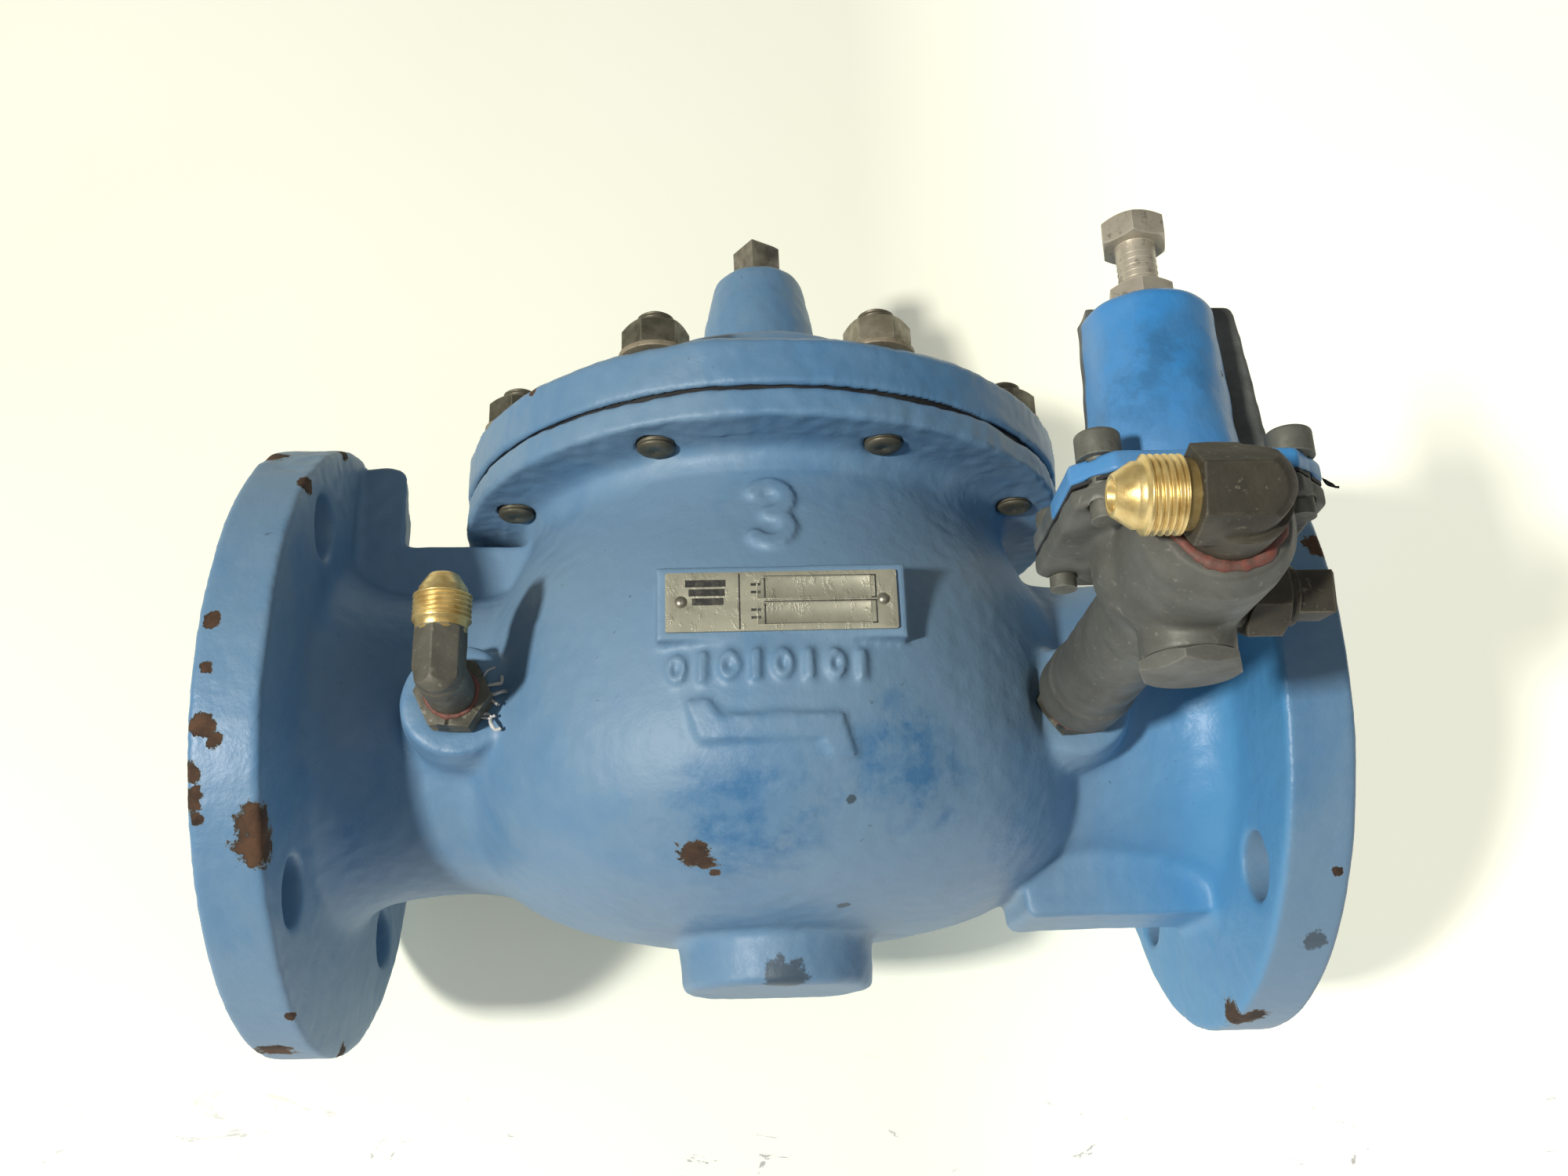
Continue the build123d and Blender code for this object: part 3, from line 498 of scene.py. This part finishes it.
def soften(mesh, rounds, hollow=0.55, crest=0.12, weight=1.0):
    """Fill inside corners as a casting's fillets do, and round outside edges only a little."""
    points = coordinates(mesh)
    count = len(points)
    pairs = np.empty(len(mesh.edges) * 2, dtype=np.int32)
    mesh.edges.foreach_get("vertices", pairs)
    start, end = pairs.reshape(-1, 2).T
    degree = np.maximum(np.bincount(pairs, minlength=count), 1)[:, None]
    for _ in range(rounds):
        total = np.zeros_like(points)
        for axis in range(3):
            total[:, axis] += np.bincount(start, points[end, axis], count)
            total[:, axis] += np.bincount(end, points[start, axis], count)
        step = total / degree - points
        outward = (step * vertex_normals(mesh)).sum(1, keepdims=True)
        points += step * np.where(outward > 0, hollow, crest) * weight
        set_coordinates(mesh, points)


def roughen(mesh, scale, depth, seed, weight=1.0):
    """Push vertices in and out along their normals by seeded noise."""
    points = coordinates(mesh)
    samples = (points * scale + seed).tolist()
    height = np.array([noise.noise(sample) for sample in samples])[:, None]
    set_coordinates(mesh, points + vertex_normals(mesh) * height * depth * weight)


def rounded_copy(node, width, segments=3, angle=0.6):
    """CAD mesh with its sharp edges rounded."""
    source = bpy.data.objects[node].data.copy()
    weld = ("WELD", {"merge_threshold": 0.000002})
    bevel = {"width": width, "segments": segments, "limit_method": "ANGLE", "angle_limit": angle}
    mesh = baked(source, weld, ("BEVEL", bevel))
    return smooth_shaded(mesh)


def pieces_of(rows, columns, closed_rows):
    """Quads of a grid that wraps round its columns."""
    faces = []
    for row in range(rows if closed_rows else rows - 1):
        below = row * columns
        above = (row + 1) % rows * columns
        for column in range(columns):
            nearby = (column + 1) % columns
            faces.append((below + column, below + nearby, above + nearby, above + column))
    return faces


def turned(profile, place, pitch=1.0, depth=0.0, columns=96, close=True):
    """Turned part from (z, radius, threaded) rows about Z, carried to its place.

    Where threaded is 1 the surface dips by depth along a helix of the given pitch.
    """
    vertices = []
    for z, radius, threaded in profile:
        for column in range(columns):
            angle = 2 * math.pi * column / columns
            phase = (z / pitch - column / columns) % 1.0
            valley = min(1.0, max(0.0, abs(2 * phase - 1) * 1.25 - 0.12))
            r = radius - depth * threaded * valley
            vertices.append(place @ Vector((r * math.cos(angle), r * math.sin(angle), z)))
    mesh = bpy.data.meshes.new("turned")
    mesh.from_pydata(vertices, [], pieces_of(len(profile), columns, close))
    return smooth_shaded(mesh)


def thread_rows(z0, z1, radius, pitch, runout=0.5):
    """Rows of a threaded length whose thread fades in and out over part of a turn."""
    count = max(4, int((z1 - z0) / pitch * 12))
    rows = []
    for i in range(count + 1):
        z = z0 + (z1 - z0) * i / count
        fade = min(1.0, (z - z0) / (pitch * runout), (z1 - z) / (pitch * runout))
        rows.append((z, radius, fade))
    return rows


def bead(name, centre, normal, radius, thick, seed, material, body="base", sag=0.0):
    """Uneven squeezed-out ring round a joint."""
    turn = Vector((0, 0, 1)).rotation_difference(Vector(normal)).to_matrix().to_4x4()
    place = Matrix.Translation(centre) @ turn
    columns, rows = 96, 10
    vertices = []
    for row in range(rows):
        for column in range(columns):
            angle = 2 * math.pi * column / columns
            round_trip = Vector((math.cos(angle), math.sin(angle), seed))
            lump = 1 + 0.45 * noise.noise(round_trip * 3.1) + 0.25 * noise.noise(round_trip * 9.0)
            across = 2 * math.pi * row / rows
            r = radius + thick * lump * math.cos(across)
            z = thick * lump * math.sin(across) * 0.8 + sag * noise.noise(round_trip * 2.0)
            vertices.append(place @ Vector((r * math.cos(angle), r * math.sin(angle), z)))
    mesh = bpy.data.meshes.new(name)
    mesh.from_pydata(vertices, [], pieces_of(rows, columns, True))
    return link_piece(name, smooth_shaded(mesh), material, body)


def fray(name, points, thick, material, body="base"):
    """Loose end of tape or gasket cloth: a thin flat strip along a crumpled line."""
    curve = bpy.data.curves.new(name, "CURVE")
    curve.dimensions = "3D"
    curve.bevel_depth = thick
    curve.bevel_resolution = 2
    spline = curve.splines.new("NURBS")
    spline.points.add(len(points) - 1)
    for slot_point, point in zip(spline.points, points):
        slot_point.co = (*point, 1)
        slot_point.radius = 1.0 + 0.8 * noise.noise(Vector(point) * 900)
    spline.order_u = 3
    spline.use_endpoint_u = True
    holder = bpy.data.objects.new(name + "_curve", curve)
    bpy.context.scene.collection.objects.link(holder)
    mesh = bpy.data.meshes.new_from_object(holder.evaluated_get(bpy.context.evaluated_depsgraph_get()))
    bpy.data.objects.remove(holder)
    return link_piece(name, smooth_shaded(mesh), material, body)


# ---------------------------------------------------------------- castings


def close_joint(mesh, face_z, lip):
    """Coating runs over the edge of a joint face, so that only a thin line of the joint shows."""
    points = coordinates(mesh)
    reach = np.hypot(points[:, 0] - STEM_X, points[:, 1])
    near = np.clip(1 - np.abs(points[:, 2] - face_z) / (1.6 * MM), 0, 1)
    outer = np.clip((reach - reach.max() + 3.0 * MM) / (1.5 * MM), 0, 1)
    points[:, 2] += lip * near * np.where(np.abs(points[:, 0] - STEM_X) < 0.125, outer, 0)
    set_coordinates(mesh, points)


def make_body():
    mesh = remeshed("valve_body", 0.92 * MM)
    points = coordinates(mesh)
    side = np.abs(points[:, 0] - STEM_X)
    reach = np.hypot(points[:, 0] - STEM_X, points[:, 1])
    marks = (points[:, 1] < -0.070) & (side < 0.046) & (points[:, 2] > -0.036)
    marks &= points[:, 2] < 0.060
    flange = side > 0.1345
    rim = (points[:, 2] > 0.066) & (reach > 0.088)
    weight = np.where(marks, 0.07, np.where(flange, 0.22, np.where(rim, 0.12, 1.0)))[:, None]
    soften(mesh, 34, weight=weight)
    joint_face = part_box("diaphragm")[0].z
    close_joint(mesh, joint_face, 0.9 * MM)
    lumps = np.where(rim, 1.2, np.where(flange, 0.25, np.where(marks, 0.3, 0.6)))[:, None]
    roughen(mesh, 55.0, 0.00075, 3.0, lumps)
    roughen(mesh, 210.0, 0.00032, 9.0, lumps)
    finish = epoxy("body_blue", BODY_CHIPS, BARE_SCRATCHES, BRIGHT_PATCHES, 0.80)
    link_piece("body_casting", mesh, finish, "base", "valve_body")


def make_cover():
    mesh = remeshed("cover", 1.1 * MM)
    points = coordinates(mesh)
    radius = np.hypot(points[:, 0] - STEM_X, points[:, 1])
    crown = np.where(radius < 0.072, 1.0, 0.12)[:, None]
    soften(mesh, 18, weight=crown)
    close_joint(mesh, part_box("cover")[0].z, -0.9 * MM)
    roughen(mesh, 60.0, 0.0006, 5.0)
    roughen(mesh, 240.0, 0.00025, 2.0)
    finish = epoxy("cover_blue", [((STEM_X - 0.070, -0.070, 0.0905), 0.0016)], chalky=0.66)
    link_piece("cover_casting", mesh, finish, "base", "cover")
    foot_z = points[radius > 0.040, 2].max()
    foot = radius[(points[:, 2] > foot_z + 0.002) & (points[:, 2] < foot_z + 0.004)].max()
    bead("boss_bead", Vector((STEM_X, 0, foot_z + 0.4 * MM)), (0, 0, 1), foot + 1.2 * MM, 1.5 * MM,
         2.2, finish, sag=0.5 * MM)


def make_bonnet():
    mesh = remeshed("pilot_bonnet", 0.6 * MM)
    points = coordinates(mesh)
    offset = points - np.array(PILOT_AXIS)
    tucked = (np.hypot(offset[:, 0], offset[:, 1]) > 17.3 * MM) & (offset[:, 0] < -9 * MM)
    tucked &= (offset[:, 1] > 0) & (points[:, 2] > BONNET_LOW.z + 6 * MM)
    points[tucked, 0] = PILOT_AXIS.x - 9 * MM
    set_coordinates(mesh, points)
    soften(mesh, 10, hollow=0.5, crest=0.15)
    roughen(mesh, 130.0, 0.0004, 7.0)
    link_piece("bonnet_casting", mesh, bonnet_finish(), "base", "pilot_bonnet")


def make_pilot_body():
    mesh = remeshed("pilot_body", 0.6 * MM)
    soften(mesh, 14, hollow=0.55, crest=0.12)
    roughen(mesh, 140.0, 0.0004, 4.0)
    finish = tarnish("pilot_grey", (0.165, 0.165, 0.140), (0.115, 0.115, 0.098), (0.30, 0.30, 0.26))
    link_piece("pilot_casting", mesh, finish, "base", "pilot_body")


# ---------------------------------------------------------------- fittings


def flare_frame(mount):
    """Matrix of a flare: its thread's outer end along +Z, its relief groove at the origin."""
    axis = Vector(MOUNTS[mount]["axis"])
    base = Vector(MOUNTS[mount]["pos_m"]) - axis * 5.8 * MM
    turn = Vector((0, 0, 1)).rotation_difference(axis).to_matrix().to_4x4()
    return Matrix.Translation(base) @ turn


def make_flare(name, mount, material):
    """Machined 45 degree flare with its helical thread, as one closed turned part."""
    r = MOUNTS[mount]["dims"]["r_mm"] * MM
    pitch = 25.4 / 18 * MM
    rows = [(-5.0 * MM, 3.1 * MM, 0), (14.7 * MM, 3.1 * MM, 0), (15.1 * MM, 3.5 * MM, 0)]
    rows += [(15.15 * MM, 3.9 * MM, 0), (14.9 * MM, 4.2 * MM, 0), (11.3 * MM, 6.5 * MM, 0)]
    rows += [(11.1 * MM, 6.6 * MM, 0), (9.9 * MM, 6.6 * MM, 0), (9.7 * MM, 6.9 * MM, 0)]
    rows += [(9.2 * MM, r - 0.5 * MM, 0)]
    rows += thread_rows(2.0 * MM, 9.0 * MM, r - 0.02 * MM, pitch)[::-1]
    rows += [(1.7 * MM, r - 0.9 * MM, 0), (-0.2 * MM, r - 0.9 * MM, 0), (-0.6 * MM, r - 1.2 * MM, 0)]
    rows += [(-5.0 * MM, r - 3.2 * MM, 0)]
    mesh = turned(rows[::-1], flare_frame(mount), pitch, 0.80 * MM, columns=128)
    return link_piece(name, mesh, material, "base")


def make_forging(name, node, mount, material):
    """Elbow forging, cut off where the machined flare starts, with soft forged corners."""
    form = bmesh.new()
    form.from_mesh(bpy.data.objects[node].data)
    bmesh.ops.remove_doubles(form, verts=form.verts, dist=2e-6)
    to_world = flare_frame(mount)
    end = to_world @ Vector((0, 0, -0.4 * MM))
    axis = to_world.to_3x3() @ Vector((0, 0, 1))
    whole = form.verts[:] + form.edges[:] + form.faces[:]
    bmesh.ops.bisect_plane(form, geom=whole, plane_co=end, plane_no=axis, clear_outer=True)
    rim = [edge for edge in form.edges if edge.is_boundary]
    bmesh.ops.triangle_fill(form, edges=rim, use_beauty=True)
    mesh = bpy.data.meshes.new(name)
    form.to_mesh(mesh)
    form.free()
    mesh = baked(mesh, ("REMESH", {"mode": "VOXEL", "voxel_size": 0.3 * MM}))
    soften(mesh, 5, hollow=0.5, crest=0.15)
    roughen(mesh, 260.0, 0.00016, 6.0)
    return link_piece(name, smooth_shaded(mesh), material, "base", node)


def make_fittings():
    brass = bright_brass()
    olive = tarnish("olive_brass", (0.170, 0.162, 0.125), (0.100, 0.092, 0.066), (0.36, 0.34, 0.26))
    umber = tarnish("umber_brass", (0.090, 0.078, 0.052), (0.055, 0.048, 0.034), (0.27, 0.24, 0.17))
    red = sealant()
    white = tape()
    black = rubber()
    make_forging("inlet_elbow_forging", "inlet_elbow", "inlet_flare", olive)
    make_forging("pilot_elbow_forging", "pilot_elbow", "pilot_flare", umber)
    make_flare("inlet_flare_end", "inlet_flare", brass)
    make_flare("pilot_flare_end", "pilot_flare", brass)
    for node in ("inlet_bushing", "outlet_nipple"):
        mesh = rounded_copy(node, 0.35 * MM)
        roughen(mesh, 300.0, 0.00012, 1.0)
        link_piece(node + "_hex", mesh, olive, "base", node)
    for node in ("pilot_side_bushing", "pilot_side_plug"):
        mesh = rounded_copy(node, 0.35 * MM)
        link_piece(node + "_part", mesh, umber, "base", node)
    grey = tarnish("plug_grey", (0.175, 0.175, 0.150), (0.120, 0.120, 0.100), (0.30, 0.30, 0.26))
    mesh = rounded_copy("pilot_bottom_plug", 0.4 * MM)
    link_piece("bottom_plug_part", mesh, grey, "base", "pilot_bottom_plug")
    elbow = Vector(MOUNTS["inlet_flare"]["pos_m"])
    low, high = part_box("inlet_bushing")
    tap = Vector((elbow.x, low.y, (low.z + high.z) / 2))
    bead("inlet_seal", tap, (0, -1, 0), 7.0 * MM, 0.8 * MM, 1.3, red)
    front = Vector((PILOT_AXIS.x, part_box("pilot_body")[0].y, NIPPLE_LOW.z / 2 + NIPPLE_HIGH.z / 2))
    bead("front_port_seal", front, (0, -1, 0), 11.0 * MM, 1.5 * MM, 4.7, red)
    rear = Vector((front.x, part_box("pilot_body")[1].y, front.z))
    bead("arm_seal", rear, (0, -1, 0), 11.2 * MM, 0.85 * MM, 8.1, red)
    for strand in range(6):
        lift = (5.5 - 2.2 * strand) * MM
        start = tap + Vector((7.0 * MM + 1.2 * MM * (strand % 2), 5.5 * MM, lift))
        heading = Vector((1.0, -0.25, 0.55 - 0.3 * strand)).normalized()
        line = [start + heading * (step * 1.5 * MM) for step in range(4 + strand % 3)]
        seed = Vector((strand * 7.0, 0, 0))
        crumpled = [p + noise.noise_vector(p * 500 + seed) * 2.2 * MM for p in line]
        fray(f"tape_end_{strand}", crumpled, (0.30 + 0.1 * (strand % 3)) * MM, white)
    corner = Vector((BONNET_HIGH.x - 1.0 * MM, BONNET_LOW.y + 6.0 * MM, BONNET_LOW.z - 0.6 * MM))
    for strand in range(3):
        heading = Vector((0.8, -0.3 + 0.3 * strand, -0.7 + 0.25 * strand)).normalized()
        line = [corner + heading * (step * 1.1 * MM) for step in range(4)]
        crumpled = [p + noise.noise_vector(p * 900 + Vector((strand, 0, 0))) * 0.9 * MM for p in line]
        fray(f"gasket_end_{strand}", crumpled, 0.18 * MM, black)


# ---------------------------------------------------------------- fasteners


def make_studs(material):
    low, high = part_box("cover_studs")
    count = 8
    radius = 5.5 * MM
    circle = (high.x - STEM_X - 5.55 * MM) / math.cos(math.pi / count)
    pitch = 25.4 / 14 * MM
    for i in range(count):
        angle = 2 * math.pi * (i + 0.5) / count
        place = Matrix.Translation((STEM_X + circle * math.cos(angle), circle * math.sin(angle), 0))
        rows = [(low.z, 0.1 * MM, 0), (low.z, radius - 1.0 * MM, 0), (low.z + 0.8 * MM, radius, 0)]
        rows += thread_rows(low.z + 1.0 * MM, high.z - 1.0 * MM, radius, pitch)
        rows += [(high.z - 0.6 * MM, radius - 0.5 * MM, 0), (high.z, radius - 1.4 * MM, 0)]
        rows += [(high.z, 0.1 * MM, 0)]
        piece = link_piece(
            f"stud_{i}", turned(rows, place, pitch, 0.55 * MM, columns=40), material, "base",
        )
        if i == 0:
            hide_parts("cover_studs")


def make_screw(material):
    """Adjusting screw: rounded hexagon head on a helically threaded shank."""
    pitch = 25.4 / 16 * MM
    radius = 4.72 * MM
    neck = SCREW_HIGH.z - 6.35 * MM
    place = Matrix.Translation((PILOT_AXIS.x, PILOT_AXIS.y, 0))
    rows = [(SCREW_LOW.z, 0.1 * MM, 0), (SCREW_LOW.z, radius - 0.9 * MM, 0)]
    rows += thread_rows(SCREW_LOW.z + 0.6 * MM, neck - 1.2 * MM, radius, pitch)
    rows += [(neck - 0.8 * MM, radius - 0.35 * MM, 0), (neck + 0.6 * MM, radius - 0.3 * MM, 0)]
    rows += [(neck + 0.8 * MM, 0.1 * MM, 0)]
    shank = turned(rows, place, pitch, 0.9 * MM, columns=96)
    link_piece("screw_shank", shank, material, "adjusting_screw_body")
    head = rounded_copy("adjusting_screw", 0.25 * MM)
    points = coordinates(head)
    below = points[:, 2] < neck - 0.1 * MM
    axis = np.array(PILOT_AXIS)
    points[below, :2] = axis[:2] + (points[below, :2] - axis[:2]) * 0.80
    set_coordinates(head, points)
    link_piece("screw_head", head, material, "adjusting_screw_body", "adjusting_screw")


def make_fasteners():
    olive = steel("nut_olive", (0.185, 0.165, 0.115), (0.10, 0.09, 0.06), 0.55, 0.42, 0.66)
    beige = steel("washer_beige", (0.38, 0.32, 0.22), (0.24, 0.20, 0.13), 0.3, 0.5, 0.7)
    pale = steel("stainless_satin", (0.60, 0.54, 0.42), (0.46, 0.41, 0.32), 0.45, 0.30, 0.48)
    iron = steel("screw_grey", (0.20, 0.20, 0.165), (0.13, 0.13, 0.105), 0.5, 0.5, 0.7)
    worn = steel("plug_worn", (0.27, 0.24, 0.19), (0.15, 0.13, 0.10), 0.5, 0.4, 0.62)
    make_studs(olive)
    make_screw(pale)
    nuts = rounded_copy("cover_nuts", 0.35 * MM)
    link_piece("nuts", nuts, nut_finish(), "base", "cover_nuts")
    link_piece("washers", rounded_copy("cover_washers", 0.3 * MM), beige, "base",
               "cover_washers")
    link_piece("locking_nut", rounded_copy("lock_nut", 0.25 * MM), pale, "lock_nut_body",
               "lock_nut")
    link_piece("cap_screws", rounded_copy("pilot_cap_screws", 0.3 * MM), iron, "base",
               "pilot_cap_screws")
    plug = rounded_copy("cover_plug", 1.1 * MM)
    roughen(plug, 260.0, 0.0006, 2.0)
    link_piece("plug", plug, worn, "base", "cover_plug")


def nut_finish():
    """Plated nuts: darker olive on the upstream side, paler beige downstream."""
    paint = Paint("nut_plating", 0.5)
    cloud = paint.noise(210.0, 5, 0.6)
    across = paint.span(paint.axis("X"), STEM_X - 0.02, STEM_X + 0.02)
    light = paint.mix(across, (0.165, 0.150, 0.105), (0.36, 0.325, 0.235))
    dark = paint.mix(across, (0.075, 0.068, 0.045), (0.21, 0.185, 0.125))
    colour = paint.mix(paint.span(cloud, 0.35, 0.65), light, dark)
    edges = paint.math("MULTIPLY", paint.worn_edges(0.0006), 0.55)
    colour = paint.mix(edges, colour, (0.46, 0.42, 0.32))
    normal = paint.bump(paint.noise(600.0, 4), 0.00012, 0.6)
    return paint.finish(colour, paint.span(cloud, 0.3, 0.7, 0.42, 0.62), normal)


# ---------------------------------------------------------------- data plate


def strip(low, high, y):
    """Corners of one thin printed bar, from (x, z) to (x, z), standing on the plate."""
    front = y - 0.04 * MM
    corners = [(x, d, z) for d in (y + 0.02 * MM, front) for x, z in
               ((low[0], low[1]), (high[0], low[1]), (high[0], high[1]), (low[0], high[1]))]
    faces = [(4, 5, 6, 7), (0, 1, 5, 4), (1, 2, 6, 5), (2, 3, 7, 6), (3, 0, 4, 7), (3, 2, 1, 0)]
    return corners, faces


def make_plate():
    plate = rounded_copy("nameplate", 0.15 * MM, segments=2)
    link_piece("plate", plate, plate_finish(), "base", "nameplate")
    width = PLATE_HIGH.x - PLATE_LOW.x
    height = PLATE_HIGH.z - PLATE_LOW.z
    face = PLATE_LOW.y + 0.1 * MM
    line = 0.42 * MM
    divider = PLATE_LOW.x + width * 0.315
    left = PLATE_LOW.x + width * 0.425
    right = PLATE_LOW.x + width * 0.905
    bars = [((divider, PLATE_LOW.z + height * 0.03), (divider + line, PLATE_HIGH.z - height * 0.03))]
    for bottom in (0.09, 0.52):
        z0 = PLATE_LOW.z + height * bottom
        z1 = z0 + height * 0.38
        bars += [((left, z0), (right, z0 + line)), ((left, z1), (right, z1 + line))]
        bars += [((left, z0), (left + line, z1)), ((right, z0), (right + line, z1 + line))]
        caption = left - 0.9 * MM
        for row in range(2):
            z = z0 + height * (0.24 - 0.13 * row)
            bars.append(((caption - 2.6 * MM, z), (caption, z + 0.7 * MM)))
    for row in range(3):
        block = PLATE_LOW.x + width * (0.115 - 0.015 * row)
        z = PLATE_LOW.z + height * (0.44 + 0.155 * row)
        bars.append(((block, z), (block + width * (0.135 + 0.02 * row), z + height * 0.12)))
    vertices, faces = [], []
    for low, high in bars:
        corners, sides = strip(low, high, face)
        faces += [tuple(len(vertices) + i for i in side) for side in sides]
        vertices += corners
    mesh = bpy.data.meshes.new("plate_print")
    mesh.from_pydata(vertices, [], faces)
    link_piece("plate_print", mesh, ink(), "base")
    rivets = rounded_copy("nameplate_rivets", 0.1 * MM)
    dull = steel("rivet_steel", (0.40, 0.38, 0.30), (0.22, 0.20, 0.15), 0.7, 0.3, 0.5)
    link_piece("rivets", rivets, dull, "base", "nameplate_rivets")


# ---------------------------------------------------------------- inner parts keep their CAD shape


def make_flexing(joint, flexed, material, slot):
    """Spring or diaphragm, linked as its own copy of the CAD mesh in place of its node."""
    node = flexed["node"]
    mesh = smooth_shaded(bpy.data.objects[node].data.copy())
    piece = link_piece(node + "_flexing", mesh, material, "base", node)
    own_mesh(piece)


def finish_inside():
    bronze = tarnish("cast_bronze", (0.42, 0.27, 0.12), (0.30, 0.19, 0.09), (0.60, 0.42, 0.22), 0.9)
    inner_brass = tarnish("inner_brass", (0.55, 0.40, 0.16), (0.40, 0.28, 0.12), (0.7, 0.55, 0.3), 0.9)
    bright = steel("inner_stainless", (0.58, 0.57, 0.54), (0.45, 0.44, 0.42), 0.95, 0.22, 0.40)
    wire = steel("spring_steel", (0.36, 0.36, 0.37), (0.25, 0.25, 0.26), 0.9, 0.3, 0.5)
    coated = epoxy("inner_blue", [((STEM_X, 0.0, 0.2), 0.001)], chalky=0.2)
    black = rubber()
    groups = {
        bronze: ("seat_ring", "cover_bearing", "disc_guide"),
        inner_brass: ("pilot_seat",),
        bright: ("stem", "stem_nut", "pilot_stem", "pilot_spring_seat", "pilot_stem_nut",
                 "pilot_spring_guide"),
        black: ("valve_disc", "pilot_disc"),
        coated: ("diaphragm_washer", "disc_retainer"),
    }
    flexing = {
        "main_spring": (bright, "stainless"),
        "pilot_spring": (wire, "spring_steel"),
        "diaphragm": (black, "rubber"),
        "pilot_diaphragm": (black, "rubber"),
    }
    for material, nodes in groups.items():
        for node in nodes:
            piece = bpy.data.objects[node]
            piece.data.materials.clear()
            piece.data.materials.append(material)
    for joint in frame["record"]["behaviour"]["joints"]:
        for flexed in joint.get("deforming_nodes", ()):
            make_flexing(joint, flexed, *flexing[flexed["node"]])


# ---------------------------------------------------------------- board


def make_board():
    """Pale board the valve lies against, behind it as the camera sees it."""
    mesh = bpy.data.meshes.new("board")
    half = 3.0
    y = BODY_HIGH.y + 0.001
    corners = [(-half, y, -half), (half, y, -half), (half, y, half), (-half, y, half)]
    mesh.from_pydata(corners, [], [(0, 1, 2, 3)])
    board = bpy.data.objects.new("board", mesh)
    bpy.context.scene.collection.objects.link(board)
    board.visible_shadow = False
    paint = Paint("board_cream")
    tone = paint.noise(2.2, 3, 0.5)
    colour = paint.mix(paint.span(tone, 0.35, 0.65), (0.93, 0.925, 0.745), (0.96, 0.955, 0.82))
    lower = paint.span(paint.axis("Z"), -0.05, -0.30)
    colour = paint.mix(lower, colour, (0.86, 0.88, 0.93))
    scuffed = paint.noise(38.0, 5, 0.75, warp=1.5, stretch=(0.6, 1.0, 1.6))
    dirt = paint.span(scuffed, 0.635, 0.66, 0.0, 0.85)
    dirt = paint.math("MULTIPLY", dirt, paint.span(paint.axis("Z"), -0.09, -0.15))
    colour = paint.mix(dirt, colour, (0.16, 0.14, 0.13))
    paint.finish(colour, 0.55, paint.bump(paint.noise(9.0, 3), 0.002, 0.3))
    # Painted light: the board glows, faintly everywhere and more strongly towards the right, which
    # keeps it white and washes out the shadows cast on it there.
    lit = paint.span(paint.axis("X"), STEM_X + 0.05, STEM_X + 0.19, 0.22, 0.66)
    paint.link(colour, paint.shader.inputs["Emission Color"])
    paint.link(lit, paint.shader.inputs["Emission Strength"])
    clear = paint.tree.nodes.new("ShaderNodeBsdfTransparent")
    facing = paint.tree.nodes.new("ShaderNodeNewGeometry")
    mix = paint.tree.nodes.new("ShaderNodeMixShader")
    paint.tree.links.new(facing.outputs["Backfacing"], mix.inputs[0])
    paint.tree.links.new(paint.shader.outputs[0], mix.inputs[1])
    paint.tree.links.new(clear.outputs[0], mix.inputs[2])
    paint.tree.links.new(mix.outputs[0], paint.tree.nodes["Material Output"].inputs["Surface"])
    mesh.materials.append(paint.material)


# ---------------------------------------------------------------- build

make_camera()
make_world()
make_board()
middle = (STEM_X, 0, 0)
area_light("key", (STEM_X - 1.10, -1.60, -0.42), middle, 35, 0.16, (1.0, 0.985, 0.94))
area_light("fill", (STEM_X + 0.5, -1.9, -0.3), middle, 4, 1.4, (0.95, 0.98, 1.0))

make_body()
make_cover()
make_bonnet()
make_pilot_body()
make_fittings()
make_fasteners()
make_plate()
finish_inside()

bpy.context.scene.view_settings.view_transform = "Standard"
